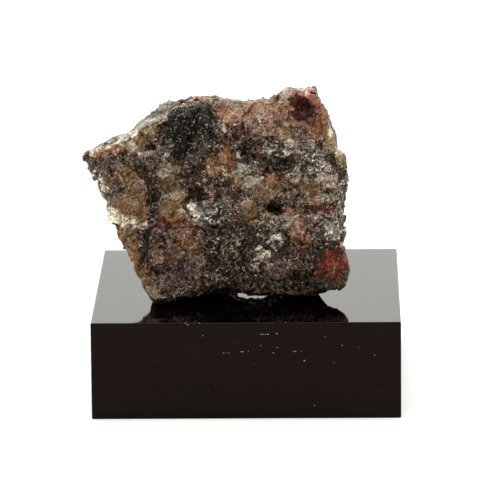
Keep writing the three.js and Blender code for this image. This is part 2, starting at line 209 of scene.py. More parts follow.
def paintPoints(mesh, name, values):
    if values.ndim == 2:
        layer = mesh.attributes.new(name, "FLOAT_COLOR", "POINT")
        layer.data.foreach_set("color", np.c_[values, np.ones(len(values))].astype(np.float32).ravel())
    else:
        layer = mesh.attributes.new(name, "FLOAT", "POINT")
        layer.data.foreach_set("value", values.astype(np.float32))


def smoothPoints(mesh, rounds, share):
    # evens the skin out before the grains are cut into it
    edges = np.zeros(len(mesh.edges) * 2, np.int64)
    mesh.edges.foreach_get("vertices", edges)
    a, b = edges.reshape(-1, 2).T
    points = pointsOf(mesh)
    count = np.bincount(np.r_[a, b], minlength=len(points))[:, None]
    for _ in range(rounds):
        total = np.zeros_like(points)
        for axis in range(3):
            total[:, axis] += np.bincount(a, points[b, axis], len(points))
            total[:, axis] += np.bincount(b, points[a, axis], len(points))
        points += share * (total / np.maximum(count, 1) - points)
    movePoints(mesh, points)


def proudness(mesh, rounds):
    # how far each point stands out of its surroundings, in millimetres
    points = pointsOf(mesh)
    facing = normalsOf(mesh)
    smoothPoints(mesh, rounds, 0.7)
    around = pointsOf(mesh)
    movePoints(mesh, points)
    return ((points - around) * facing).sum(1) / mm


# Node trees
def addNode(tree, kind, values=None, **settings):
    # a node with its settings, and its inputs given as numbers or as the sockets that feed them
    made = tree.nodes.new(kind)
    for key, value in settings.items():
        setattr(made, key, value)
    for key, value in (values or {}).items():
        socket = made.inputs[key]
        if isinstance(value, bpy.types.NodeSocket):
            tree.links.new(value, socket)
        else:
            socket.default_value = value
    return made


def newMaterial(name, settings):
    material = bpy.data.materials.new(name)
    material.use_nodes = True
    tree = material.node_tree
    tree.nodes.clear()
    output = tree.nodes.new("ShaderNodeOutputMaterial")
    shader = addNode(tree, "ShaderNodeBsdfPrincipled", settings)
    tree.links.new(shader.outputs["BSDF"], output.inputs["Surface"])
    return material, tree, shader


def feed(tree, shader, sockets):
    for name, socket in sockets.items():
        tree.links.new(socket, shader.inputs[name])


def maths(tree, operation, a, b=0.0, c=0.0):
    return addNode(tree, "ShaderNodeMath", {0: a, 1: b, 2: c}, operation=operation).outputs[0]


def times(tree, a, b):
    return maths(tree, "MULTIPLY", a, b)


def scaled(tree, a, gain, lift):
    return maths(tree, "MULTIPLY_ADD", a, gain, lift)


def vectorMaths(tree, operation, values):
    return addNode(tree, "ShaderNodeVectorMath", values, operation=operation).outputs[0]


def span(tree, value, fromLow, fromHigh, toLow, toHigh):
    values = {"Value": value, "From Min": fromLow, "From Max": fromHigh, "To Min": toLow, "To Max": toHigh}
    return addNode(tree, "ShaderNodeMapRange", values, clamp=True).outputs["Result"]


def choice(tree, share, a, b):
    return addNode(tree, "ShaderNodeMix", {"Factor": share, 2: a, 3: b}).outputs[0]


def tint(tree, share, a, b, blendType="MIX"):
    values = {"Factor": share, 6: a, 7: b}
    return addNode(tree, "ShaderNodeMix", values, data_type="RGBA", blend_type=blendType).outputs[2]


def objectPlace(tree):
    return addNode(tree, "ShaderNodeTexCoord").outputs["Object"]


def painted(tree, name, output="Fac"):
    return addNode(tree, "ShaderNodeAttribute", attribute_name=name).outputs[output]


def noise(tree, place, size, detail=2.0, output="Fac"):
    values = {"Vector": place, "Scale": 1 / size, "Detail": detail}
    return addNode(tree, "ShaderNodeTexNoise", values).outputs[output]


def voronoi(tree, place, size, **settings):
    return addNode(tree, "ShaderNodeTexVoronoi", {"Vector": place, "Scale": 1 / size}, **settings).outputs


def threeOf(tree, colour):
    return addNode(tree, "ShaderNodeSeparateColor", {"Color": colour}).outputs


def stretched(tree, place, stretch):
    return addNode(tree, "ShaderNodeMapping", {"Vector": place, "Scale": stretch}).outputs[0]


def facetNormal(tree, place, size, strength, shift=0.0, facing=None):
    # every small grain faces its own way, so that it glints on its own
    shifted = vectorMaths(tree, "ADD", {0: place, 1: (shift,) * 3})
    cell = voronoi(tree, shifted, size)["Color"]
    lean = vectorMaths(tree, "SUBTRACT", {0: cell, 1: (0.5,) * 3})
    push = vectorMaths(tree, "SCALE", {0: lean, "Scale": strength})
    if facing is None:
        facing = addNode(tree, "ShaderNodeNewGeometry").outputs["Normal"]
    leant = vectorMaths(tree, "ADD", {0: facing, 1: push})
    return vectorMaths(tree, "NORMALIZE", {0: leant}), cell


def wobble(tree, place, size, reach):
    # the place, shaken a little, so that no pattern has a clean edge
    away = vectorMaths(tree, "SUBTRACT", {0: noise(tree, place, size, 1.0, "Color"), 1: (0.5,) * 3})
    shake = vectorMaths(tree, "SCALE", {0: away, "Scale": 2 * reach})
    return vectorMaths(tree, "ADD", {0: place, 1: shake})


def specks(tree, place, size, share, spread):
    # pinpoint dots of mixed sizes, one in some of the cells
    cells = voronoi(tree, place, size)
    number = threeOf(tree, cells["Color"])
    near = maths(tree, "LESS_THAN", cells["Distance"], scaled(tree, number[2], 1.2 * spread, 0.4 * spread))
    chosen = times(tree, near, maths(tree, "LESS_THAN", number[0], share))
    return times(tree, chosen, scaled(tree, number[1], 0.75, 0.25))


def fibres(tree, place, size, width, stretch):
    # thin crooked threads where a stretched noise crosses its middle value
    away = maths(tree, "SUBTRACT", noise(tree, stretched(tree, place, stretch), size), 0.5)
    return maths(tree, "LESS_THAN", maths(tree, "ABSOLUTE", away), width)


def brighter(tree, colour, gain, lift):
    # a colour times a gain, lifted a little towards white
    white = (lift, 0.94 * lift, 0.84 * lift)
    lifted = vectorMaths(tree, "MULTIPLY_ADD", {0: colour, 1: (gain,) * 3, 2: white})
    return vectorMaths(tree, "MINIMUM", {0: lifted, 1: (0.88, 0.84, 0.78)})


def grainRims(tree, place, size, width):
    # broken edges between neighbouring grains
    cells = voronoi(tree, place, size, feature="DISTANCE_TO_EDGE")
    return maths(tree, "LESS_THAN", cells["Distance"], width)


def patchy(tree, place, size, low, high):
    return span(tree, noise(tree, place, size), low, high, 0, 1)


# The stone's minerals
# linear colour, roughness, share of the stone's unmarked parts, and how proud its grains stand in millimetres
minerals = {
    "biotite": {"colour": (0.0165, 0.009, 0.0063), "rough": 0.36, "share": 0.21, "proud": -0.06},
    "plumGrey": {"colour": (0.067, 0.0415, 0.036), "rough": 0.42, "share": 0.20, "proud": -0.02},
    "greenGrey": {"colour": (0.124, 0.108, 0.08), "rough": 0.5, "share": 0.17, "proud": 0.0},
    "quartz": {"colour": (0.185, 0.137, 0.095), "rough": 0.3, "share": 0.20, "proud": 0.04},
    "tan": {"colour": (0.142, 0.089, 0.045), "rough": 0.42, "share": 0.07, "proud": 0.05},
    "brown": {"colour": (0.108, 0.06, 0.031), "rough": 0.45, "share": 0.09, "proud": 0.02},
    "rust": {"colour": (0.18, 0.08, 0.039), "rough": 0.5, "share": 0.02, "proud": 0.02},
    "pink": {"colour": (0.3, 0.158, 0.1), "rough": 0.45, "share": 0.04, "proud": 0.04},
    "red": {"colour": (0.1, 0.03, 0.022), "rough": 0.34, "share": 0.01, "proud": 0.0},
    "cream": {"colour": (0.9, 0.75, 0.54), "rough": 0.55, "share": 0.015, "proud": 0.05},
    "pale": {"colour": (0.42, 0.385, 0.315), "rough": 0.4, "share": 0.02, "proud": 0.04},
}

# Patches of one mineral on the front: x, z, half width, half height in millimetres, turn in degrees, strength
frontPatches = {
    "rust": [
        (-23.4, 40.4, 1.4, 0.7, 10, 2.0), (-10.8, 48.2, 0.9, 0.6, 0, 1.4), (-2.6, 39.4, 0.8, 1.7, 0, 0.6),
        (-4.3, 47.2, 0.9, 0.8, 0, 1.2), (0.7, 47.1, 1.3, 1.1, 0, 0.8), (5.3, 47.4, 0.9, 1.3, 10, 0.9),
        (10.7, 50.2, 0.8, 1.2, 0, 1), (12.2, 45.6, 1.1, 2.2, -12, 2.4), (4.1, 35.8, 1.2, 0.9, 0, 0.8),
        (-8.7, 25.4, 1.5, 2.1, 0, 0.7), (-18.8, 24.0, 1.0, 1.6, 25, 2.1), (-16.3, 19.4, 0.8, 1.5, 25, 1.5),
        (-15.3, 16.8, 0.6, 1.8, 15, 1.3), (9.0, 24.6, 1.0, 1.4, 0, 0.7), (-18.3, 30.6, 1.4, 1.6, 0, 0.5),
    ],
    "brown": [
        (-21.4, 35.6, 1.4, 1.3, 0, 1), (-18.4, 31.5, 2.4, 2.4, 20, 1.4), (-5.9, 39.0, 1.5, 1.2, 0, 0.9),
        (-13.5, 34.6, 1.1, 1.3, 0, 1.1), (-13.4, 23.2, 2.8, 1.0, 8, 1.2), (-10.2, 25.7, 2.6, 2.4, 0, 0.8),
        (-11.0, 48.1, 1.7, 0.6, 25, 1.3), (-4.8, 24.8, 1.8, 1.4, 0, 0.7), (12.3, 44.8, 1.0, 0.7, -25, 1.4),
        (-17.6, 42.5, 1.3, 0.8, 20, 2.2),
    ],
    "tan": [
        (-19.2, 37.0, 1.3, 1.9, 10, 2.2), (-12.0, 38.2, 1.3, 1.7, -15, 1.2),
        (-11.9, 31.0, 1.6, 2.6, 12, 2.2), (15.4, 38.9, 0.8, 1.1, 0, 1.9), (-17.5, 42.7, 2.0, 1.0, 28, 2.6),
        (-17.0, 41.3, 3.0, 0.5, 26, 0.8), (-5.1, 40.7, 0.8, 0.8, 0, 0.9), (6.2, 43.8, 1.0, 1.2, 20, 1),
        (-1.4, 36.4, 0.9, 1.2, 0, 1), (0.4, 30.5, 1.0, 1.5, 0, 1), (10.8, 34.4, 0.8, 1.0, 0, 1.5),
        (-19.2, 25.8, 1.2, 1.9, 25, 1.5), (-16.8, 20.2, 0.9, 1.8, 25, 2.0), (1.5, 48.4, 5.5, 0.6, 0, 1),
        (14.0, 41.4, 0.8, 1.6, 0, 1), (-14.8, 43.9, 2.4, 0.7, 32, 0.8), (12.8, 17.6, 2.2, 0.9, 20, 0.8),
    ],
    "cream": [
        (-24.3, 35.5, 0.3, 1.7, 20, 1.4), (-20.3, 29.0, 1.6, 0.7, -14, 3.4),
        (-22.4, 30.2, 1.0, 0.8, 0, 3.6), (-8.2, 30.4, 1.3, 0.7, -30, 1.6), (-8.2, 28.9, 0.7, 0.5, 0, 1.0),
        (2.2, 22.1, 2.0, 0.7, 35, 1.5), (13.8, 44.0, 0.6, 2.2, 10, 0.8), (14.9, 40.2, 0.45, 2.0, 20, 1.5),
        (15.9, 25.6, 0.4, 1.3, 10, 1.2),
    ],
    "pink": [
        (-3.8, 48.9, 1.4, 0.5, 0, 1.2), (6.7, 30.1, 0.8, 0.5, 0, 1.0), (-7.4, 49.3, 1.4, 0.5, 0, 1.4),
        (-2.3, 46.4, 1.0, 0.5, 0, 1.3), (-2.4, 45.3, 1.0, 0.5, 10, 1.2), (3.3, 44.5, 2.2, 1.2, 0, 1.1),
        (6.7, 48.0, 0.6, 1.8, 10, 1.7), (0.7, 46.6, 4.6, 1.5, 0, 0.8), (8.6, 35.6, 0.9, 0.5, 0, 0.9),
        (11.0, 51.2, 0.9, 0.7, 0, 2.2), (7.2, 29.8, 1.1, 0.6, 0, 1.5), (8.1, 27.3, 0.9, 1.1, -20, 1.4),
        (11.3, 31.8, 0.9, 0.6, 0, 1.3), (-6.7, 19.3, 1.5, 1.3, 0, 1.4), (-10.3, 32.9, 0.7, 1.2, 0, 1.2),
        (-6.0, 37.2, 0.9, 0.6, 0, 1), (13.7, 36.0, 1.2, 0.9, -12, 1.2), (9.6, 50.4, 2.6, 0.7, 0, 1.8),
    ],
    "red": [
        (-13.0, 28.3, 1.0, 0.7, 0, 1.5), (-10.7, 28.0, 2.1, 0.8, 12, 1.8), (13.1, 30.9, 1.5, 0.5, -15, 1.8),
        (11.3, 44.4, 1.0, 1.2, 0, 1.4), (8.2, 45.2, 1.3, 0.8, 0, 0.9), (8.0, 26.5, 0.7, 0.5, 0, 0.9),
        (-10.6, 26.8, 1.3, 0.7, 0, 0.9), (-22, 34.6, 1.2, 0.8, 0, 0.6),
    ],
    "plumGrey": [
        (-22.6, 38.1, 2.0, 1.6, 0, 1.4), (-23.0, 35.8, 0.9, 1.6, 20, 0.8), (1.6, 42.4, 2.2, 1.0, 0, 0.7),
        (-15.0, 41.4, 2.0, 1.5, 0, 1.3), (-15.8, 38.4, 1.6, 1.6, 0, 1.3), (-15.0, 32.0, 0.8, 2.5, 0, 1.6),
        (-1.2, 43.8, 1.5, 1.0, 20, 1.4), (-10.4, 26.4, 1.6, 0.7, 0, 1.2), (10.7, 27.7, 1.1, 1.6, 0, 1.2),
        (-14.0, 25.6, 2.6, 1.6, 0, 1.1), (-10.9, 20.1, 3.4, 2.1, 0, 1.6), (2.0, 45.3, 1.2, 1.0, 0, 0.8),
        (10.0, 41.5, 1.2, 0.8, 0, 1.2), (9.4, 43.2, 1.4, 1.4, 0, 0.7), (5.2, 20.3, 3.2, 1.8, 0, 1.2),
        (7.7, 23.0, 1.6, 1.6, 0, 0.8), (-5.0, 24.2, 2.2, 1.6, 0, 0.8), (-3.2, 33, 1.6, 1.2, 0, 0.6),
    ],
    "biotite": [
        (-21.2, 34.4, 1.3, 1.0, 0, 1.0), (13.8, 34.0, 0.9, 0.3, 0, 1.7), (-15.4, 40.2, 1.3, 0.8, 0, 2.4),
        (11.2, 43.9, 1.1, 0.5, -20, 1.1), (-19.3, 39.5, 1.8, 0.6, 0, 1.3), (-24.6, 38.6, 0.6, 0.9, 0, 1.4),
        (-9.0, 37.6, 2.0, 1.4, 0, 0.9), (0.2, 40.2, 1.2, 1.5, 0, 1.3), (5.9, 38.5, 2.1, 1.1, 0, 1.8),
        (-6.3, 27.5, 2.0, 1.1, 10, 1.6), (-2.4, 20.6, 3.6, 3.3, 0, 2.3), (4.3, 30.8, 1.1, 0.8, 0, 2.2),
        (13.2, 24.5, 1.6, 0.5, 35, 1.6), (-8.3, 33.7, 1.7, 0.7, -30, 1.5), (-16.4, 22.6, 0.7, 1.7, 20, 1.1),
        (10.6, 20.4, 1.0, 2.0, 0, 1.1), (6.2, 26.2, 1.6, 0.8, 30, 0.8), (-1.6, 22.5, 4.0, 3.6, 0, 1.3),
        (8.6, 19.2, 2.6, 1.6, 0, 0.8), (-9.3, 43.6, 3.4, 4.6, 0, 1.6), (11.9, 21.6, 1.0, 3.0, 0, 1.6),
        (13.4, 25.4, 2.2, 0.6, 20, 1.2), (-1.0, 24.0, 2.6, 1.4, 0, 0.8), (-11.2, 47.6, 1.0, 0.6, 0, 1),
    ],
    "greenGrey": [
        (-6.3, 29.6, 2.2, 1.3, 10, 1.4), (10.9, 38.4, 1.8, 2.2, -15, 1.6), (14.9, 35.0, 1.4, 2.4, 0, 1.2),
        (-1.8, 25.3, 0.7, 1.7, 0, 2.3), (11.3, 40.3, 1.2, 0.8, 0, 0.8), (4.4, 25.0, 0.8, 0.6, 30, 0.8),
        (-5.2, 43.8, 1.4, 2.4, 0, 1), (13.9, 30, 1.6, 3.4, 0, 0.9), (3.4, 27.2, 1.8, 1.2, 30, 0.9),
        (-3.4, 29.2, 1.6, 1.4, 0, 0.7),
    ],
    "pale": [
        (-15.6, 46.3, 1.6, 0.3, 36, 0.8), (-6.6, 30.1, 1.4, 0.9, -10, 1.9),
        (12.6, 37.4, 1.0, 1.4, -20, 1.9), (14.3, 27.4, 0.9, 1.3, 20, 1.9), (-8.5, 40.8, 0.9, 0.7, 0, 1.5),
        (-8.8, 38.8, 1.2, 0.5, -10, 1.2), (-12.9, 36.5, 0.8, 0.6, 0, 1.9), (-0.5, 37.9, 0.9, 0.6, 0, 1.1),
        (5.5, 40.1, 1.2, 0.6, 10, 1.5), (7.7, 42.0, 0.6, 0.6, 0, 1.3), (5.4, 26.2, 1.3, 0.6, 0, 1.7),
        (-5.4, 29.4, 1.0, 0.5, 0, 1.2), (-5.4, 18.4, 0.5, 0.6, 0, 1.4), (-0.1, 19.5, 0.5, 0.5, 0, 1.2),
        (13.3, 35.4, 0.9, 0.5, 0, 1.1), (0.9, 35.2, 1.4, 0.9, 0, 0.7), (8.8, 50.5, 2.0, 0.55, -8, 2.4),
        (11.3, 50.5, 0.9, 0.8, 0, 1.7), (6.4, 48.5, 0.35, 1.6, 0, 0.8), (-12.6, 39.4, 1.0, 0.6, 0, 1.6),
        (-17.0, 39.6, 0.6, 0.4, -20, 2.0), (-3.8, 49.0, 1.4, 0.5, 0, 1.5), (-6.5, 20.2, 0.8, 0.6, 0, 1.0),
        (-6.6, 21.6, 1.1, 0.5, 0, 1),
    ],
    "quartz": [
        (-15.6, 46.3, 2.6, 1.6, 35, 1.5), (3.8, 33.6, 2.6, 1.4, 0, 0.6), (10.5, 34.6, 2.2, 1.6, 0, 0.7),
        (12.0, 27.6, 1.8, 1.6, 0, 0.8), (-12.0, 38.2, 1.5, 1.6, -15, 1.8), (-15.3, 16.8, 0.7, 1.9, 15, 2.4),
        (-17.1, 35.4, 0.8, 0.8, 0, 1.7), (-3.6, 48.8, 1.8, 0.7, 0, 1.6),
    ],
}

# Thin veins: mineral, half width in millimetres, strength, and the x and z of each bend
frontVeins = [
    ("biotite", 0.45, 1.4, [(-21.4, 39.2), (-17.8, 38.4), (-16.2, 36.6), (-15.2, 33.4), (-14.6, 31.0)]),
    ("biotite", 0.4, 1.8, [(-14.9, 31.0), (-15.9, 27.0), (-16.9, 22.6), (-17.2, 21.2)]),
    ("pale", 0.6, 2.0, [(-26.2, 40.5), (-22.5, 42.0), (-19.7, 43.7), (-17.2, 45.2)]),
    ("cream", 0.14, 1.7, [(-26.1, 40.2), (-22.4, 41.2), (-19.4, 42.6), (-16.0, 44.4), (-13.4, 46.2)]),
    ("pink", 0.2, 1.5, [(-15.8, 21.2), (-13.5, 22.6), (-11.0, 23.1), (-8.3, 24.3)]),
    ("cream", 0.2, 0.8, [(-18.6, 28.2), (-16.6, 28.6), (-14.8, 29.2)]),
    ("cream", 0.18, 1.2, [(-2.2, 26.2), (-1.4, 25.0), (-0.8, 24.6)]),
    ("cream", 0.3, 1.2, [(0.6, 21.2), (2.0, 22.0), (2.6, 22.9), (4.2, 23.4)]),
    ("pink", 0.2, 1.5, [(3.0, 29.7), (4.8, 29.4), (6.6, 29.8), (8.2, 30.6)]),
    ("pale", 0.25, 1.3, [(-1.2, 40.0), (-0.6, 38.2), (0.6, 37.2)]),
    ("pale", 0.25, 1.5, [(12.2, 24.0), (13.4, 25.2), (14.6, 25.8)]),
    ("pale", 0.2, 1.0, [(1.6, 23.8), (3.6, 25.2), (5.6, 27.0), (7.4, 28.8)]),
    ("pale", 0.2, 1.1, [(3.6, 40.6), (6.0, 40.0), (8.2, 40.2)]),
    ("biotite", 0.3, 1.5, [(-13.6, 42.0), (-11.6, 39.6), (-9.4, 38.0), (-7.4, 38.6)]),
    ("biotite", 0.45, 1.8, [(12.1, 41.6), (13.3, 40.0), (14.5, 38.5), (15.7, 36.4)]),
    ("biotite", 0.28, 1.4, [(-8.4, 33.2), (-6.8, 32.2), (-4.6, 32.6)]),
]

# The back and sides: mineral, middle and half sizes in millimetres, strength
backZones = [
    ("pink", (7.0, 8.0, 46.0), (10.0, 8.0, 3.6), 1.0), ("pink", (-6.0, 11.0, 26.0), (4.5, 6.0, 4.0), 0.8),
    ("tan", (-15.0, 8.0, 33.0), (5.5, 7.0, 4.0), 0.9), ("tan", (10.0, 9.0, 24.0), (5.0, 6.0, 3.2), 0.9),
    ("brown", (1.0, 10.0, 21.0), (12.0, 7.0, 3.6), 0.8),
    ("brown", (-18.0, 6.0, 40.0), (4.0, 6.0, 2.2), 0.9),
    ("biotite", (-8.0, 10.0, 41.0), (6.5, 6.0, 2.6), 1.2),
    ("biotite", (5.0, 11.0, 34.0), (8.0, 5.0, 2.6), 1.3),
    ("biotite", (16.0, 4.0, 28.0), (4.0, 4.0, 4.0), 0.8),
    ("greenGrey", (13.0, 8.0, 38.0), (5.0, 7.0, 4.5), 1.0),
    ("quartz", (-2.0, 11.0, 29.5), (6.0, 5.0, 2.2), 1.0),
    ("cream", (-20.0, 4.0, 30.0), (3.6, 3.6, 1.5), 1.0),
    ("cream", (-11.0, 11.0, 36.5), (3.2, 5.0, 1.1), 1.4),
    ("plumGrey", (-10.0, 9.0, 21.0), (6.0, 6.0, 3.2), 1.0),
    ("pink", (11.4, 5.0, 49.2), (2.0, 6.0, 2.6), 2.4), ("red", (2.0, 11.0, 39.5), (2.4, 4.0, 1.2), 1.4),
    ("rust", (9.0, 11.0, 41.5), (3.6, 4.0, 1.6), 1.2),
]
# Veins that cut through the stone there: mineral, half width, strength, the way across, how far along it
backVeins = [
    ("cream", 0.3, 1.5, (0.42, 0.2, 0.89), 28.5), ("biotite", 0.7, 1.3, (0.42, 0.2, 0.89), 33.0),
    ("pale", 0.25, 1.3, (-0.55, 0.3, 0.78), 33.0), ("biotite", 0.4, 1.1, (0.36, 0.28, 0.89), 41.0),
]

# How far each kind of marking wanders from its drawn shape, and in swells of what size, in millimetres
bends = {"size": 2.4, "seed": 301, "patch": 0.75, "vein": 0.35, "backZone": 1.5, "backVein": 0.6}
# The soft drifts of each mineral where nothing is listed
drifts = {"size": 5.0, "contrast": 2.1, "seed": 400, "hidden": 0.85, "least": 0.05}

sightLine = np.array([0.0, -1.0, 0.244])  # from the front, a little from above
patchPlane = -8.0  # the depth at which a patch keeps its own height, in millimetres


def seenPlace(points):
    # the front's patches are placed as they are seen along the sight line
    seen = points.copy()
    seen[:, 2] += sightLine[2] * (points[:, 1] - patchPlane)
    return seen


def turned(points, x, z, turn):
    # how far right and up of a place on the front the points lie, in axes turned by some degrees
    angle = math.radians(turn)
    right = (points[:, 0] - x) * math.cos(angle) + (points[:, 2] - z) * math.sin(angle)
    up = (points[:, 2] - z) * math.cos(angle) - (points[:, 0] - x) * math.sin(angle)
    return right, up


def patchEdge(reach):
    return np.clip(1.55 - 0.8 * reach, 0, 1)


def veinEdge(away, width):
    return np.clip(1.6 - 0.9 * away / width, 0, 1)


def patchCover(points, patch):
    x, z, wide, high, turn, strength = patch
    right, up = turned(points, x, z, turn)
    return strength * patchEdge(np.sqrt((right / wide) ** 2 + (up / high) ** 2))


def veinCover(points, width, strength, corners):
    away = np.full(len(points), np.inf)
    for (x0, z0), (x1, z1) in zip(corners, corners[1:]):
        wide, high = x1 - x0, z1 - z0
        right, up = points[:, 0] - x0, points[:, 2] - z0
        share = np.clip((right * wide + up * high) / (wide**2 + high**2), 0, 1)
        away = np.minimum(away, np.hypot(right - share * wide, up - share * high))
    return strength * veinEdge(away, width)


def mineralScores(points):
    # how much of each mineral a place holds: listed patches on the front, drifts of each elsewhere
    wander = wanderOf(points, bends["size"], bends["seed"], 3)
    seen = seenPlace(points)
    front = falling(points[:, 1], 1.5, 3.0)  # the patches lie on the front only
    held = {name: np.zeros(len(points)) for name in minerals}
    cover = np.zeros(len(points))

    def mark(name, share):
        held[name] = np.maximum(held[name], share)
        np.maximum(cover, share, out=cover)

    bent = seen + bends["patch"] * wander
    for name, patches in frontPatches.items():
        for patch in patches:
            mark(name, patchCover(bent, patch) * front)
    bent = seen + bends["vein"] * wander
    for name, width, strength, corners in frontVeins:
        share = veinCover(bent, width, strength, corners) * front
        for other in held:
            held[other] = held[other] * (1 - 0.6 * np.clip(share, 0, 1))
        mark(name, share)
    bent = points + bends["backZone"] * wander
    for name, middle, half, strength in backZones:
        reach = np.sqrt((((bent - np.array(middle)) / np.array(half)) ** 2).sum(1))
        mark(name, strength * patchEdge(reach) * (1 - front))
    bent = points + bends["backVein"] * wander
    for name, width, strength, across, along in backVeins:
        away = np.abs(bent @ np.array(across) - along)
        mark(name, strength * veinEdge(away, width) * (1 - front))
    scores = []
    for n, (name, mineral) in enumerate(minerals.items()):
        swell = layeredNoise(points, drifts["size"], drifts["seed"] + 31 * n)
        drift = mineral["share"] * np.exp(drifts["contrast"] * swell)
        drift *= np.clip(1.0 - drifts["hidden"] * cover, drifts["least"], 1)
        scores.append(drift + stoneLook["patchHold"] * held[name] ** 2)
    scores = np.stack(scores, 1)
    return scores / scores.sum(1)[:, None]


def pickMinerals(scores, grains, seed):
    # one mineral for each grain, drawn by the shares at its middle
    draws = np.stack([grainNumber(grains, seed + 7 * n) for n in range(len(minerals))], 1)
    return np.argmax(np.log(scores + 1e-6) - np.log(-np.log(np.clip(draws, 1e-9, 1 - 1e-9))), 1)


def traitOf(name):
    return np.array([mineral[name] for mineral in minerals.values()])


# The stone: lengths are in millimetres, apart from the voxel
stoneLook = {
    "voxel": 0.25 * mm,
    "blocks": {"size": 3.2, "tilt": 0.17, "step": 0.18, "blocky": 6.0, "seed": 11},
    "grains": {"size": 1.3, "tilt": 0.09, "step": 0.03, "blocky": 4.0, "seed": 23},
    "crumbs": {"size": 0.62, "tilt": 0.1, "step": 0.015, "blocky": 2.0, "seed": 37},
    "seam": 0.05, "seamWidth": 0.2,  # the gaps between blocks
    "crack": 0.12, "crackWidth": 0.16,  # the broken lines around the blocks
    "pit": 0.12, "pitSize": 1.1, "wander": 0.35, "wanderSize": 2.2, "crooked": 0.9, "crookedSize": 1.7,
    "blend": 0.36,  # 1 gives smooth drifts of colour, 0 gives each grain a pure mineral
    "patchHold": 6.0,  # how far the listed patches win over the drifts
    # the edge share is a painted highlight on proud edges, the crevice share painted shade in the hollows,
    # and the top share painted light on faces that look up
    "edgeHighlight": 0.36, "creviceShade": 0.42, "topLight": 0.26, "paler": 1.19,
}
micaRich = ("biotite", "plumGrey", "greenGrey")  # the other minerals form calmer patches

# Linear colours of the stone's broken parts, and of the painted highlights, painted shade and painted light
# from above that lie on it
stonePaint = {
    "cleaved": (0.14, 0.128, 0.1), "cleavedFloor": (0.05, 0.048, 0.043), "cleavedShare": 0.72,
    # the brow colour is a painted highlight along the top of the standing crystals, the edge colour a painted
    # highlight on proud edges, and the dust colour painted light on faces that look up
    "litBrow": (0.3, 0.235, 0.185), "browShare": 0.35, "litEdge": (0.085, 0.07, 0.05), "dust": (0.42, 0.38, 0.31),
    "hollowShade": (0.92, 1.06, 1.2),  # how much of red, green and blue the painted shade in the hollows takes
    "grainShade": 0.28, "crumbShade": 0.42, "fineShade": 0.7, "broadShade": 0.4,  # how uneven each scale is
    "crackShade": 0.9, "lowShade": 0.48, "grey": (0.3, 0.59, 0.11),
    "vivid": {0.012: 1.6, 0.06: 1.38, 0.16: 1.1, 0.4: 0.78},  # brightness and how vivid it is there
}

# Crystals that stand out of the front as flat-topped blocks: x, z, half width, half height, turn, height
standing = [
    (-12.2, 38.4, 1.9, 1.5, -15, 0.35), (-11.9, 31.0, 1.6, 2.4, 8, 0.45), (-10.2, 25.9, 3.3, 2.0, 10, 0.4),
    (-18.4, 31.0, 2.6, 2.4, 15, 0.4), (-10.9, 20.3, 3.6, 2.9, 4, 0.35), (8.4, 27.2, 1.3, 1.6, -20, 0.25),
    (5.0, 26.0, 1.0, 0.7, 10, 0.3), (-22.0, 36.0, 1.9, 2.2, 20, 0.3), (6.2, 43.8, 1.1, 1.3, 20, 0.25),
    (2.6, 44.6, 2.0, 1.6, 5, 0.2), (9.6, 41.8, 1.6, 1.2, -8, 0.25), (13.4, 34.9, 1.2, 1.5, 10, 0.3),
    (0.4, 30.6, 1.2, 1.5, 15, 0.25), (-1.2, 36.0, 1.2, 1.2, 30, 0.25), (-19.4, 38.0, 1.4, 1.2, 30, 0.25),
    (-15.6, 46.2, 2.6, 1.3, 38, 0.2), (5.3, 20.6, 2.6, 1.5, -10, 0.25), (-5.6, 32.4, 1.5, 1.1, 12, 0.25),
]

# Deep hollows of the front: x, z, half width, half height, depth in millimetres
hollows = [
    (4.4, 30.9, 1.1, 0.75, 0.9), (-8.6, 37.9, 1.3, 0.7, 0.5), (11.6, 21.4, 0.6, 1.9, 0.7),
    (5.8, 38.4, 1.6, 0.8, 0.5), (-5.6, 27.2, 1.6, 0.8, 0.6), (1.0, 40.4, 1.2, 1.0, 0.4),
    (-16.6, 37.6, 0.6, 1.4, 0.4), (-14.6, 31.5, 0.7, 1.8, 0.4), (-3.0, 34.6, 0.9, 0.7, 0.5),
    (-12.8, 27.7, 2.4, 0.35, 0.4), (13.8, 34.0, 0.9, 0.35, 0.4),
]

# Dents and swells of the outline: x, z, reach, then the move right and up in millimetres
outlineMoves = [
    (-24.0, 34.2, 2.0, -0.95, 0.0), (-18.9, 44.4, 2.2, 0.25, -0.6), (-24.4, 41.4, 1.8, 0.15, -0.5),
    (16.6, 39.2, 2.2, -0.6, 0.0), (4.2, 50.0, 1.5, 0.0, -0.75), (12.2, 49.4, 1.2, -0.3, -0.4),
    (15.6, 41.8, 1.6, -0.45, -0.5), (16.4, 27.2, 1.7, -0.45, 0.0), (-12.7, 48.3, 1.5, -0.3, 0.4),
]

# How far the front stands out above the foot, between which heights, and where the front ends
overhang = {"reach": 3.6, "from": 0.8, "to": 13.0, "back": -1.0, "fade": 6.0}
# Daylight shows under the stone here
archway = {"x": 1.1, "half": 4.7, "lift": 0.25, "low": 0.3, "high": 3, "fade": 1.5}
# The low left corner stands forward on the block
toe = {"x": -15.6, "half": 3.4, "out": 2.8, "high": 4.5}
# How far the low corners draw in behind the front, and up to which height
heel = {"middle": -1, "start": 9, "width": 6, "left": 4.4, "right": 5.8, "high": 9.0, "front": -7, "deep": 4}


def aboveBlock(points):
    return points[:, 2] - seatHeight / mm


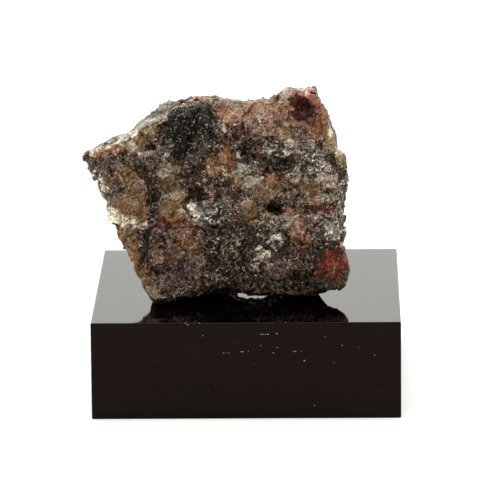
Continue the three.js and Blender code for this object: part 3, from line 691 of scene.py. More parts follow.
def shapeOutline(points):
    # in millimetres
    moved = points.copy()
    seen = seenPlace(points)
    for x, z, reach, right, up in outlineMoves:
        share = np.exp(-(((seen[:, 0] - x) ** 2 + (seen[:, 2] - z) ** 2) / reach**2))
        moved[:, 0] += right * share
        moved[:, 2] += up * share
    above = aboveBlock(points)
    front = falling(points[:, 1], overhang["back"], overhang["fade"])
    out = rising(above, 0, overhang["from"]) * np.clip(1 - (above - overhang["from"]) / overhang["to"], 0, 1)
    arch = bell(points[:, 0] - archway["x"], archway["half"], 4)
    arch *= rising(above, 0, archway["low"])
    arch *= falling(above, archway["high"], archway["fade"])
    moved[:, 2] += archway["lift"] * arch
    forward = bell(points[:, 0] - toe["x"], toe["half"]) * front
    moved[:, 1] -= toe["out"] * forward * np.clip(1 - above / toe["high"], 0, 1)
    inward = rising(np.abs(points[:, 0] - heel["middle"]), heel["start"], heel["width"])
    inward *= rising(points[:, 1], heel["front"], heel["deep"])
    inward *= np.where(points[:, 0] < heel["middle"], heel["left"], -heel["right"])
    moved[:, 0] += inward * np.clip(1 - above / heel["high"], 0, 1)
    return moved + overhang["reach"] * (out * front)[:, None] * sightLine


def leanOf(grains, tilt, seed):
    # each grain's top is a plane with a lean of its own
    lean = np.stack([grainSwing(grains, seed + n) for n in range(3)], 1)
    return tilt * (grains["away"] * lean).sum(1)


def grainHeights(points, cells, broken):
    # every kind of grain leans and steps by its own amount, with seams between the blocks and a few pits
    height = np.zeros(len(points))
    for kind, held in cells.items():
        look = stoneLook[kind]
        height += leanOf(held, look["tilt"], look["seed"] + 50)
        height += look["step"] * (grainNumber(held, look["seed"] + 60) - 0.5)
    seams = stoneLook["seam"] * np.exp(-cells["blocks"]["rim"] / stoneLook["seamWidth"])
    height -= seams * np.clip(0.3 + 1.5 * broken, 0, 1)
    height -= stoneLook["pit"] * np.clip(softNoise(points, stoneLook["pitSize"], 81) - 0.45, 0, 1) * 2
    return height


def standBlocks(points, height, crack):
    # the standing crystals, each with a crack below it that is darkened as a painted shadow and a pale brow
    # on top that is a painted highlight, and the deep hollows
    front = falling(points[:, 1], -3.5, 2.5)
    seen = seenPlace(points)
    crooked = seen + stoneLook["crooked"] * wanderOf(points, stoneLook["crookedSize"], 61)
    still = np.zeros(len(points))
    litBrow = np.zeros(len(points))
    for x, z, wide, high, turn, rise in standing:
        right, up = turned(crooked * 0.5 + seen * 0.5, x, z, turn)
        inside = 1 - np.maximum(np.abs(right) / wide, np.abs(up) / high)
        height += rise * front * rising(inside, 0, 0.12) * (1 + 0.35 * up / high)
        still = np.maximum(still, front * rising(inside, -0.1, 0.15))
        ring = front * bell((inside + 0.06) * min(wide, high), stoneLook["crackWidth"])
        crack = np.maximum(crack, ring * (up < 0.3 * high))
        litBrow = np.maximum(litBrow, ring * (up > 0.5 * high))
    for x, z, wide, high, depth in hollows:
        reach = ((crooked[:, 0] - x) / wide) ** 2 + ((crooked[:, 2] - z) / high) ** 2
        height -= depth * front * bell(reach, 1, 1.5)
    return height, still, crack, litBrow


def cleavedColour(points):
    # long streaks that run down the smooth face
    downhill, layer = turned(points, 0.0, 0.0, 27)
    drawn = np.stack([0.15 * downhill, 0.6 * points[:, 1], 1.2 * layer], 1)
    streak = layeredNoise(drawn, 0.55, 96)[:, None]
    colour = np.array(stonePaint["cleaved"]) * np.exp(3.2 * streak) + np.array(stonePaint["cleavedFloor"])
    return colour * (1 - 0.3 * rising(seenPlace(points)[:, 2], 44.5, 3))[:, None]


def stoneColour(mesh, points, cells, scores, picked, marks):
    calm, ledge, crack, litBrow = marks
    crumbs = cells["crumbs"]
    pure = traitOf("colour")
    mixed = np.exp(scores @ np.log(pure))
    colour = mixed ** stoneLook["blend"] * pure[picked] ** (1 - stoneLook["blend"])
    shade = stonePaint["grainShade"] * grainSwing(cells["grains"], 91)
    shade += stonePaint["crumbShade"] * grainSwing(crumbs, 92)
    swell = stonePaint["broadShade"] * layeredNoise(points, 4.0, 93)
    shade += stonePaint["fineShade"] * layeredNoise(points, 0.9, 95, 2) + swell
    colour *= np.exp(shade * (1.0 - 0.6 * calm))[:, None]
    colour = blend(colour, cleavedColour(points), stonePaint["cleavedShare"] * ledge)
    # painted shade in the cracks, and a painted shadow below each standing crystal
    shade = stonePaint["crackShade"] * crack * (1 - ledge) * (1 - 0.5 * calm)
    # painted shade that darkens the stone towards the bottom
    shade += stonePaint["lowShade"] * falling(points[:, 2], 31, 15)
    colour *= np.exp(-shade)[:, None]
    # a pale brow along the top of each standing crystal: a painted highlight, weaker on mica
    mica = scores[:, list(minerals).index("biotite")]
    pale = litBrow * (stonePaint["browShare"] * (1 - 0.8 * mica))
    colour = blend(colour, np.array(stonePaint["litBrow"]), pale)
    # painted highlights on the edges that stand out, and painted shade in the hollows
    wide = proudness(mesh, 10)
    fine = proudness(mesh, 2)
    litEdge = rising(wide, 0, 0.14) * 0.35 + rising(fine, 0.012, 0.025) * 0.65
    hollowShade = falling(wide, 0, 0.22) * 0.75 + falling(fine, 0, 0.04) * 0.25
    highlight = stoneLook["edgeHighlight"] * litEdge * (1 - 0.45 * calm) * (0.5 + 0.5 * grainNumber(crumbs, 97))
    colour = colour * (1 + 1.7 * highlight[:, None]) + np.array(stonePaint["litEdge"]) * highlight[:, None]
    colour *= np.exp(-2.2 * stoneLook["creviceShade"] * hollowShade[:, None] * np.array(stonePaint["hollowShade"]))
    # faces that look up are paler: painted light from above
    upward = rising(normalsOf(mesh)[:, 2], 0.45, 0.4) * rising(points[:, 2], 26, 8)
    upward *= 1 - 0.8 * mica
    upward *= stoneLook["topLight"] * (0.55 + 0.45 * grainNumber(crumbs, 98)) * (1 - 0.6 * ledge)
    colour = blend(colour, np.array(stonePaint["dust"]), upward) * stoneLook["paler"]
    # dark places are warmer than pale ones
    grey = colour @ np.array(stonePaint["grey"])
    steps = stonePaint["vivid"]
    vivid = np.interp(np.log(grey + 1e-4), np.log(list(steps)), list(steps.values()))
    return grey[:, None] + (colour - grey[:, None]) * vivid[:, None], hollowShade


def buildStone():
    made = voxelSkin(mergedCopy("pegmatite_matrix", "pegmatite_stone"), stoneLook["voxel"])
    mesh = made.data
    smoothPoints(mesh, 3, 0.5)
    points = shapeOutline(pointsOf(mesh) / mm)
    movePoints(mesh, points * mm)
    facing = normalsOf(mesh)
    bent = points + stoneLook["wander"] * wanderOf(points, stoneLook["wanderSize"], 51, 1)
    cells = {kind: grainsAt(bent, stoneLook[kind]["size"], stoneLook[kind]["seed"], stoneLook[kind]["blocky"])
             for kind in ("blocks", "grains", "crumbs")}
    broken = layeredNoise(points, 3.0, 71)
    height = grainHeights(points, cells, broken)
    crack = bell(cells["blocks"]["rim"], stoneLook["crackWidth"]) * np.clip(0.15 + 1.8 * broken, 0, 1)
    height, still, crack, litBrow = standBlocks(points, height, crack)
    scores = mineralScores(points)
    picked = pickMinerals(mineralScores(cells["grains"]["middle"]), cells["grains"], 500)
    clear = [n for n, name in enumerate(minerals) if name not in micaRich]
    calm = rising(scores[:, clear].sum(1), 0.5, 0.4)
    # the sloping top at the left is a smooth cleaved face
    ledge = rising(facing[:, 2], 0.5, 0.25) * falling(points[:, 0], -10.6, 2.2) * rising(points[:, 2], 32, 4)
    calm = np.maximum(np.maximum(calm, 0.8 * ledge), 0.5 * still)
    height *= 1 - 0.7 * ledge
    stray = grainNumber(cells["crumbs"], 77) < 0.4 * (1 - 0.85 * calm)
    picked = np.where(stray, pickMinerals(scores, cells["crumbs"], 900), picked)
    height += traitOf("proud")[picked] * (1 - 0.8 * ledge) - stoneLook["crack"] * crack * (1 - ledge)
    height *= rising(aboveBlock(points), 0.25, 1.2)  # the feet stay flat on the block
    moved = points + facing * height[:, None]
    moved[:, 2] = np.maximum(moved[:, 2], seatHeight / mm)
    movePoints(mesh, moved * mm)
    colour, hollowShade = stoneColour(mesh, points, cells, scores, picked, (calm, ledge, crack, litBrow))
    rough = traitOf("rough")[picked] + 0.2 * (grainNumber(cells["crumbs"], 94) - 0.5)
    paintPoints(mesh, "mineralColour", np.clip(colour, 0.002, 1))
    paintPoints(mesh, "mineralRough", np.clip(rough + 0.2 * hollowShade, 0.1, 0.9))
    paintPoints(mesh, "calm", calm)
    mesh.polygons.foreach_set("use_smooth", np.zeros(len(mesh.polygons), bool))
    mesh.materials.append(stoneMaterial())
    print("stone skinned,", len(mesh.polygons), "faces")
    return made


# The grain of the stone's material: each kind of facet has a size, a lean and a shift
stoneGrain = {
    "wide": (1.6 * mm, 0.36, 0.011), "middle": (0.8 * mm, 0.45, 0.017), "fine": (0.25 * mm, 1.0, 0.0),
    "shake": (0.35 * mm, 0.16 * mm), "cluster": 2.2 * mm, "dust": 0.2 * mm,
    "glint": 0.8, "glintRough": 0.13, "bump": {"Distance": 0.05 * mm, "Strength": 0.5},
}
# Its marks in the order they are laid on: what draws each kind, the patches it keeps to, and its strength;
# the pale threads, rims, tiny dots, dots and pale specks are partly pale mineral and partly painted glints
stoneMarks = {
    "thread": {"draw": (0.8 * mm, 0.016, (1.0, 1.0, 0.55)), "patch": (2.6 * mm, 0.48, 0.6), "share": 0.6},
    "rim": {"draw": (1.25 * mm, 0.04), "patch": (1.1 * mm, 0.52, 0.62), "share": 0.4},
    "tiny": {"draw": (0.27 * mm, 0.3, 0.32), "brighter": (3.0, 0.07)},
    "dot": {"draw": (0.19 * mm, 0.32, 0.36), "brighter": (2.4, 0.04)},
    "seam": {"draw": (2.3 * mm, 0.022), "patch": (1.9 * mm, 0.46, 0.54), "share": 0.5},
    "pale": {"draw": (0.46 * mm, 0.5, 0.24), "patch": (2.4 * mm, 0.42, 0.6), "brighter": (2.4, 0.22)},
    "black": {"cells": 0.12, "share": 0.8},
}
markColours = {
    "thread": (0.5, 0.46, 0.38, 1), "rim": (0.42, 0.38, 0.31, 1),
    "seam": (0.012, 0.008, 0.006, 1), "black": (0.013, 0.01, 0.008, 1),
}


def stoneMaterial():
    material, tree, shader = newMaterial("pegmatite", {
        "IOR": 1.5, "Specular IOR Level": 0.12, "Specular Tint": (1.0, 0.82, 0.68, 1)})
    place = objectPlace(tree)
    shaken = wobble(tree, place, *stoneGrain["shake"])
    lively = scaled(tree, painted(tree, "calm"), -0.72, 1.0)
    facing = None
    cellColours = {}
    for kind, where in (("wide", place), ("middle", shaken), ("fine", shaken)):
        size, lean, shift = stoneGrain[kind]
        strength = lean if kind == "wide" else times(tree, lively, lean)
        facing, cellColours[kind] = facetNormal(tree, where, size, strength, shift, facing)
    crumb = threeOf(tree, cellColours["fine"])
    spread = times(tree, lively, span(tree, noise(tree, place, stoneGrain["cluster"]), 0.35, 0.65, 1.9, 4.0))
    number = maths(tree, "SUBTRACT", maths(tree, "POWER", crumb[0], 2.5), 0.28)
    speck = scaled(tree, number, spread, 1.0)
    lump = span(tree, threeOf(tree, cellColours["middle"])[0], 0, 1, 0.76, 1.24)
    fine = noise(tree, place, stoneGrain["dust"], 3.0)
    both = times(tree, times(tree, speck, lump), span(tree, fine, 0.3, 0.7, 0.46, 1.56))
    vivid = span(tree, both, 0.4, 1.8, 1.2, 0.74)  # the brighter the crumb, the greyer
    shaded = tint(tree, 1.0, painted(tree, "mineralColour", "Color"), both, "MULTIPLY")
    shaded = addNode(tree, "ShaderNodeHueSaturation", {"Saturation": vivid, "Color": shaded}).outputs[0]
    drawn = {
        "thread": fibres(tree, place, *stoneMarks["thread"]["draw"]),
        "rim": grainRims(tree, shaken, *stoneMarks["rim"]["draw"]),
        "tiny": times(tree, specks(tree, shaken, *stoneMarks["tiny"]["draw"]), lively),
        "dot": times(tree, specks(tree, place, *stoneMarks["dot"]["draw"]), scaled(tree, lively, 0.7, 0.25)),
        "seam": grainRims(tree, shaken, *stoneMarks["seam"]["draw"]),
        "pale": times(tree, specks(tree, shaken, *stoneMarks["pale"]["draw"]),
                      scaled(tree, lively, 0.6, 0.3)),
        "black": times(tree, maths(tree, "LESS_THAN", crumb[1], stoneMarks["black"]["cells"]), lively),
    }
    flecked = shaded  # each kind of mark lies over the ones before it
    for kind, look in stoneMarks.items():
        share = drawn[kind]
        if "patch" in look:
            share = times(tree, share, patchy(tree, place, *look["patch"]))
        if "share" in look:
            share = times(tree, share, look["share"])
        over = markColours[kind] if kind in markColours else brighter(tree, shaded, *look["brighter"])
        flecked = tint(tree, share, flecked, over)
    glint = maths(tree, "GREATER_THAN", crumb[2], stoneGrain["glint"])
    dull = scaled(tree, painted(tree, "mineralRough"), 0.9, 0.2)
    bump = addNode(tree, "ShaderNodeBump", {"Height": fine, "Normal": facing, **stoneGrain["bump"]})
    feed(tree, shader, {
        "Base Color": flecked, "Roughness": choice(tree, glint, dull, stoneGrain["glintRough"]),
        "Normal": bump.outputs["Normal"]})
    return material


# The tourmalines: zones are a colour, x, z, half width, half height in millimetres, a turn and a strength
tourmalineLook = {
    "black_tourmaline": {
        "name": "black_tourmaline_crystal", "voxel": 0.14 * mm, "swell": 0.78, "grain": 0.85, "tilt": 0.2,
        "step": 0.1, "striae": 0.06, "rough": 0.5, "glintSize": 0.28 * mm, "glint": 0.95, "glints": 0.22,
        "base": (0.0046, 0.0034, 0.0023), "spread": 1.1, "specks": 0.9, "sheen": 0.11,
        "margin": 0.75, "fleckSize": 0.34 * mm,
        "zones": [
            ((0.014, 0.012, 0.008), -6.0, 45.5, 0.8, 2.6, 8, 1.0),
            ((0.27, 0.2, 0.135), -8.6, 49.25, 5.0, 1.1, -2, 2.2),
            ((0.24, 0.12, 0.06), -11.9, 49.2, 0.9, 0.6, 10, 1.8),
            ((0.085, 0.07, 0.05), -6.0, 41.8, 3.2, 1.1, 56, 1.9),
            ((0.12, 0.1, 0.072), -8.6, 39.8, 1.6, 0.7, 30, 1.8),
            ((0.09, 0.07, 0.05), -13.2, 40.6, 0.7, 1.6, -20, 1.6),
            ((0.1, 0.085, 0.06), -13.4, 42.2, 0.5, 2.0, -12, 1.2),
            ((0.02, 0.017, 0.013), -11.6, 45.6, 0.8, 1.6, 0, 0.6),
            ((0.03, 0.026, 0.021), -6.2, 46.2, 1.0, 1.5, 0, 1.0),
        ],
        "hollow": None,
    },
    "red_brown_tourmaline": {
        "name": "red_brown_tourmaline_crystal", "voxel": 0.12 * mm, "swell": 0.5, "grain": 1.2, "tilt": 0.12,
        "step": 0.06, "striae": 0.02, "rough": 0.26, "glintSize": 0.5 * mm, "glint": 0.4, "glints": 0.3,
        "base": (0.22, 0.125, 0.085), "spread": 0.6, "specks": 0.28, "sheen": 0.13,
        "margin": 0.35, "fleckSize": 0.25 * mm,
        "zones": [
            ((0.17, 0.062, 0.03), 11.6, 46.4, 0.9, 2.4, -8, 1.6),
            ((0.09, 0.032, 0.018), 10.9, 45.0, 1.1, 1.1, 0, 1.4),
            ((0.4, 0.25, 0.24), 6.8, 48.2, 0.45, 1.8, 0, 1.8),
            ((0.26, 0.04, 0.018), 8.4, 48.3, 1.3, 1.3, 20, 2.2),
            ((0.03, 0.009, 0.005), 9.8, 47.1, 0.75, 1.4, 20, 1.8),
            ((0.06, 0.018, 0.012), 8.3, 47.0, 0.8, 0.6, 0, 1.2),
            ((0.5, 0.33, 0.26), 8.6, 50.4, 2.2, 0.4, -8, 1.7),
            ((0.34, 0.16, 0.11), 11.2, 49.9, 0.7, 0.8, 0, 1.5),
            ((0.19, 0.11, 0.075), 9.0, 44.9, 1.8, 0.6, 0, 1.4),
            ((0.2, 0.07, 0.03), 11.9, 45.6, 0.7, 2.0, -6, 1.8),
            ((0.06, 0.022, 0.014), 11.6, 44.9, 1.2, 0.6, -30, 1.3),
        ],
        "hollow": (9.0, 47.9, 1.4, 1.7, 1.0),
    },
    "red_tourmaline": {
        "name": "red_tourmaline_crystal", "voxel": 0.12 * mm, "swell": 0.72, "grain": 1.0, "tilt": 0.22,
        "step": 0.12, "striae": 0.03, "rough": 0.5, "glintSize": 0.3 * mm, "glint": 0.7, "glints": 0.1,
        "base": (0.06, 0.045, 0.033), "spread": 0.44, "specks": 0.3, "sheen": 0.13,
        "margin": 0.0, "fleckSize": 0.25 * mm,
        "zones": [
            ((0.15, 0.03, 0.016), 13.9, 21.9, 1.5, 1.75, -10, 2.6),
            # the dark strip down the left side is a painted shadow
            ((0.03, 0.024, 0.019), 11.2, 20.6, 0.5, 1.8, -6, 1.0),
            ((0.02, 0.017, 0.014), 12.5, 24.3, 1.5, 0.5, 42, 1.6),
            ((0.085, 0.06, 0.04), 15.0, 18.0, 3.0, 0.7, 16, 1.8),
            ((0.1, 0.08, 0.058), 16.7, 19.6, 0.5, 1.6, 0, 1.2),
            ((0.09, 0.075, 0.056), 16.3, 24.2, 1.0, 0.6, -40, 1.8),
            ((0.17, 0.08, 0.055), 14.1, 20.4, 0.45, 0.4, 0, 1.2),
            ((0.17, 0.08, 0.055), 15.4, 21.9, 0.3, 0.5, 0, 1.0),
            ((0.05, 0.016, 0.01), 14.6, 22.8, 0.5, 0.9, 20, 1.0),
        ],
        "hollow": None,
    },
}
# What the crystals share, in millimetres
crystalGrain = {
    "crumb": 0.42, "crumbStep": 0.05, "rib": 0.5, "ribLean": 0.12, "ribWaver": 1.4, "blocky": 4.0,
    "bend": 1.2, "bendSize": 1.2, "topSwell": 0.45, "sharpAngle": 35,
}


def buildTourmaline(node, look):
    made = voxelSkin(mergedCopy(node, look["name"]), look["voxel"])
    mesh = made.data
    smoothPoints(mesh, 2, 0.5)
    points = shapeOutline(pointsOf(mesh) / mm)
    movePoints(mesh, points * mm)
    facing = normalsOf(mesh)
    seen = seenPlace(points)
    grains = grainsAt(points, look["grain"], 611, crystalGrain["blocky"])
    crumbs = grainsAt(points, crystalGrain["crumb"], 617)
    height = look["swell"] * (1 - crystalGrain["topSwell"] * np.clip(facing[:, 2], 0, 1))
    height += leanOf(grains, look["tilt"], 620)
    crumbStep = crystalGrain["crumbStep"] * (grainNumber(crumbs, 631) - 0.5)
    height += look["step"] * (grainNumber(grains, 630) - 0.5) + crumbStep
    along = points[:, 0] + crystalGrain["ribLean"] * points[:, 2]  # fine ribs run up the prism
    waver = 2 * softNoise(points, crystalGrain["ribWaver"], 640)
    height += look["striae"] * np.sin(along * 2 * math.pi / crystalGrain["rib"] + waver)
    moved = points + facing * height[:, None]
    if look["hollow"]:  # a bowl broken out of the crystal's front
        x, z, wide, high, depth = look["hollow"]
        reach = ((seen[:, 0] - x) / wide) ** 2 + ((seen[:, 2] - z) / high) ** 2
        moved[:, 1] += depth * bell(reach) * np.clip(-facing[:, 1], 0, 1)
    movePoints(mesh, moved * mm)
    bent = seen + crystalGrain["bend"] * wanderOf(points, crystalGrain["bendSize"], 650)
    colour = np.log(np.array([look["base"]])) + np.zeros((len(points), 3))
    margin = np.zeros(len(points))
    for zoneColour, *patch in look["zones"]:
        cover = np.clip(patchCover(bent, patch), 0, 1)
        colour = blend(colour, np.log(np.array(zoneColour)), cover)
        margin = np.maximum(margin, cover)
    if look["margin"]:
        broken = layeredNoise(points, 1.1, 670) * 0.9 + 0.5 * (grainNumber(crumbs, 671) - 0.5)
        movePoints(mesh, (moved + facing * (look["margin"] * margin * (broken - 0.25))[:, None]) * mm)
    shade = 0.5 * grainSwing(crumbs, 660) + 0.5 * layeredNoise(points, 0.8, 661, 2)
    shade += 0.4 * grainSwing(grains, 662)
    paintPoints(mesh, "crystalColour", np.clip(np.exp(colour + look["spread"] * shade[:, None]), 0, 1))
    mesh.polygons.foreach_set("use_smooth", np.ones(len(mesh.polygons), bool))
    mesh.set_sharp_from_angle(angle=math.radians(crystalGrain["sharpAngle"]))
    mesh.materials.append(tourmalineMaterial(look))
    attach(made, "root")
    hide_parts(node)
    print("crystal", made.name, len(mesh.polygons), "faces")


def tourmalineMaterial(look):
    material, tree, shader = newMaterial(look["name"], {
        "IOR": 1.52, "Specular IOR Level": look["sheen"], "Specular Tint": (1.0, 0.86, 0.74, 1)})
    place = objectPlace(tree)
    facing, cellColour = facetNormal(tree, place, look["glintSize"], look["glint"], 0.003)
    cell = threeOf(tree, cellColour)
    speck = scaled(tree, maths(tree, "POWER", cell[0], 2.5), 1.6, 0.6)
    both = times(tree, speck, span(tree, noise(tree, place, 0.25 * mm, 3.0), 0.3, 0.7, 0.7, 1.3))
    shaded = tint(tree, 1.0, painted(tree, "crystalColour", "Color"), both, "MULTIPLY")
    shaken = wobble(tree, place, 0.25 * mm, 0.16 * mm)
    # pale flecks, partly the crystal's own pale grains and partly painted glints
    pale = times(tree, specks(tree, shaken, look["fleckSize"], look["specks"], 0.31),
                 patchy(tree, place, 1.3 * mm, 0.34, 0.6))
    flecked = tint(tree, times(tree, pale, 0.7), shaded, brighter(tree, shaded, 2.6, 0.46))
    glint = maths(tree, "GREATER_THAN", cell[2], 1 - look["glints"])
    dull = span(tree, cell[1], 0, 1, look["rough"] * 0.85, look["rough"] * 1.4)
    rough = choice(tree, glint, dull, 0.12)
    feed(tree, shader, {"Base Color": flecked, "Roughness": rough, "Normal": facing})
    return material


# Small crystals and mica on the stone
def geometryTree(name, sizes):
    tree = bpy.data.node_groups.new(name, "GeometryNodeTree")
    tree.interface.new_socket("Geometry", in_out="INPUT", socket_type="NodeSocketGeometry")
    for label, value in sizes.items():
        tree.interface.new_socket(label, in_out="INPUT", socket_type="NodeSocketFloat").default_value = value
    tree.interface.new_socket("Geometry", in_out="OUTPUT", socket_type="NodeSocketGeometry")
    return tree, tree.nodes.new("NodeGroupInput"), tree.nodes.new("NodeGroupOutput")


def finishTree(tree, leave, instances, material):
    real = addNode(tree, "GeometryNodeRealizeInstances", {"Geometry": instances}).outputs[0]
    done = addNode(tree, "GeometryNodeSetMaterial", {"Geometry": real, "Material": material})
    tree.links.new(done.outputs[0], leave.inputs[0])
    return tree


def growOn(base, name, tree, values):
    # runs a tree on a copy of the base and keeps the result as a plain mesh
    made = newObject(name, base.data.copy())
    modifier = made.modifiers.new(name, "NODES")
    modifier.node_group = tree
    sockets = {item.name: item.identifier for item in tree.interface.items_tree if item.in_out == "INPUT"}
    for label, value in values.items():
        modifier[sockets[label]] = value
    return settle(made)


def randomValue(tree, kind, low, high, seed):
    first, second, result = {"FLOAT": (2, 3, 1), "FLOAT_VECTOR": (0, 1, 0)}[kind]
    made = addNode(tree, "FunctionNodeRandomValue", data_type=kind)
    made.inputs[first].default_value = low
    made.inputs[second].default_value = high
    made.inputs["Seed"].default_value = seed
    return made.outputs[result]


def scatterTree(name, shape, look, material):
    # seeded points on the skin, one small solid on each, leaning its own way
    sizes = {"Density": 1.0, "Smallest": 0.5, "Largest": 1.0, "Sink": 0.0, "Floor": 0.0}
    tree, entry, leave = geometryTree(name, sizes)
    given = entry.outputs
    seed, tilt = look["seed"], look["tilt"]
    position = addNode(tree, "GeometryNodeInputPosition").outputs[0]
    height = addNode(tree, "ShaderNodeSeparateXYZ", {"Vector": position}).outputs["Z"]
    clear = addNode(tree, "FunctionNodeCompare", {0: height, 1: given["Floor"]}, operation="GREATER_THAN")
    points = addNode(tree, "GeometryNodeDistributePointsOnFaces", {
        "Mesh": given["Geometry"], "Density": given["Density"], "Seed": seed,
        "Selection": clear.outputs["Result"]})
    lean = randomValue(tree, "FLOAT_VECTOR", (-tilt, -tilt, -math.pi), (tilt, tilt, math.pi), seed + 1)
    leaning = addNode(tree, "FunctionNodeEulerToRotation", {0: lean}).outputs[0]
    rotation = addNode(tree, "FunctionNodeRotateRotation", {0: points.outputs["Rotation"], 1: leaning},
                       rotation_space="LOCAL")
    size = randomValue(tree, "FLOAT", 0.0, 1.0, seed + 2)
    spread = maths(tree, "SUBTRACT", given["Largest"], given["Smallest"])
    grown = scaled(tree, maths(tree, "POWER", size, 2.2), spread, given["Smallest"])
    stretch = randomValue(tree, "FLOAT_VECTOR", look["slim"], look["stout"], seed + 3)
    placed = addNode(tree, "GeometryNodeInstanceOnPoints", {
        "Points": points.outputs["Points"], "Instance": shape(tree), "Rotation": rotation.outputs[0],
        "Scale": vectorMaths(tree, "SCALE", {0: stretch, "Scale": grown})})
    down = addNode(tree, "ShaderNodeCombineXYZ", {"Z": given["Sink"]}).outputs[0]
    values = {"Instances": placed.outputs[0], "Translation": down}
    sunk = addNode(tree, "GeometryNodeTranslateInstances", values)
    return finishTree(tree, leave, sunk.outputs[0], material)


def scatterOn(base, name, shape, look, material):
    return growOn(base, name, scatterTree(name, shape, look, material), {
        "Density": look["perArea"], "Smallest": look["smallest"], "Largest": look["largest"],
        "Sink": look["sink"], "Floor": look["floor"]})


def crystalShape(tree):
    # a block with its corners cut, one unit across
    block = addNode(tree, "GeometryNodeMeshCone", {
        "Vertices": 5, "Side Segments": 1, "Fill Segments": 1, "Radius Top": 0.34, "Radius Bottom": 0.56,
        "Depth": 1.0}, fill_type="NGON")
    values = {"Geometry": block.outputs[0], "Translation": (0, 0, -0.5)}
    return addNode(tree, "GeometryNodeTransform", values).outputs[0]


def flakeShape(tree):
    return addNode(tree, "GeometryNodeMeshCylinder", {
        "Vertices": 6, "Side Segments": 1, "Fill Segments": 1, "Radius": 0.5, "Depth": 0.12},
        fill_type="NGON").outputs[0]


grainLook = {
    "perArea": 0.22e6, "smallest": 0.24 * mm, "largest": 0.85 * mm, "slim": (0.7, 0.7, 0.55), "seed": 41,
    "stout": (1.25, 1.0, 0.95), "tilt": 0.7, "sink": -0.05 * mm, "floor": seatHeight + 3 * mm,
}
micaLook = {
    "perArea": 1.0e6, "smallest": 0.14 * mm, "largest": 0.45 * mm, "slim": (0.8, 0.8, 1.0), "seed": 53,
    "stout": (1.3, 1.0, 1.0), "tilt": 0.9, "sink": 0.01 * mm, "floor": seatHeight + 3 * mm,
    "dark": (0.022, 0.018, 0.015, 1), "silver": (0.33, 0.28, 0.22, 1),
}


def grainMaterial():
    material, tree, shader = newMaterial("small crystals", {"IOR": 1.5, "Specular IOR Level": 0.35})
    place = objectPlace(tree)
    facing, cellColour = facetNormal(tree, place, 0.55 * mm, 0.25, 0.007)
    shade = span(tree, threeOf(tree, cellColour)[0], 0, 1, 0.75, 1.7)
    veil = span(tree, noise(tree, place, 0.35 * mm), 0.35, 0.65, 0.8, 1.25)
    colour = tint(tree, 1.0, painted(tree, "mineralColour", "Color"), times(tree, shade, veil), "MULTIPLY")
    rough = times(tree, painted(tree, "mineralRough"), 0.75)
    feed(tree, shader, {"Base Color": colour, "Roughness": rough, "Normal": facing})
    return material


def micaMaterial():
    material, tree, shader = newMaterial("mica flakes", {"IOR": 1.6})
    cell = threeOf(tree, voronoi(tree, objectPlace(tree), 1.4 * mm)["Color"])
    colour = tint(tree, maths(tree, "GREATER_THAN", cell[0], 0.6), micaLook["dark"], micaLook["silver"])
    feed(tree, shader, {"Base Color": colour, "Roughness": span(tree, cell[1], 0, 1, 0.08, 0.32)})
    return material


def scatterOnStone(base):
    grains = scatterOn(base, "small_crystals", crystalShape, grainLook, grainMaterial())
    flakes = scatterOn(base, "mica_flakes", flakeShape, micaLook, micaMaterial())
    for piece in (grains, flakes):
        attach(piece, "root")
        print(piece.name, len(piece.data.polygons), "faces")


# The display block
blockLook = {
    "bevel": 0.22 * mm, "bevelSteps": 3, "hairline": 0.5 * mm,
    "black": (0.0004, 0.0002, 0.0002, 1), "mark": (0.012, 0.0105, 0.01, 1),
}


def buildBlock():
    work = bmesh.new()
    bmesh.ops.create_cube(work, size=1.0)
    size = blockHigh - blockLow
    placed = Matrix.Translation((blockHigh + blockLow) / 2) @ Matrix.Diagonal((*size, 1))
    bmesh.ops.transform(work, matrix=placed, verts=work.verts)
    bmesh.ops.bevel(work, geom=work.edges[:], offset=blockLook["bevel"], segments=blockLook["bevelSteps"],
                    affect="EDGES", profile=0.5)
    mesh = bpy.data.meshes.new("acrylic_block")
    work.to_mesh(mesh)
    work.free()
    block = newObject("acrylic_block", mesh)
    mesh.materials.append(acrylicMaterial())
    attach(block, "root")
    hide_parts("display_block")
    print("block built")
    return block


def acrylicMaterial():
    material, tree, shader = newMaterial("black acrylic", {
        "IOR": 1.49, "Specular IOR Level": 0.115, "Specular Tint": (1.0, 0.68, 0.6, 1)})
    place = objectPlace(tree)
    hairline = noise(tree, stretched(tree, place, (0.12, 1.0, 1.0)), blockLook["hairline"], 3.0)
    scratch = fibres(tree, place, 2.2 * mm, 0.006, (0.05, 1.0, 1.0))
    marks = maths(tree, "ADD", times(tree, scratch, 0.13), span(tree, hairline, 0.4, 0.7, 0.0, 0.1))
    bump = addNode(tree, "ShaderNodeBump", {"Height": hairline, "Strength": 0.05, "Distance": 0.01 * mm})
    feed(tree, shader, {
        "Base Color": tint(tree, marks, blockLook["black"], blockLook["mark"]),
        "Roughness": span(tree, hairline, 0.35, 0.75, 0.02, 0.07), "Normal": bump.outputs["Normal"]})
    return material


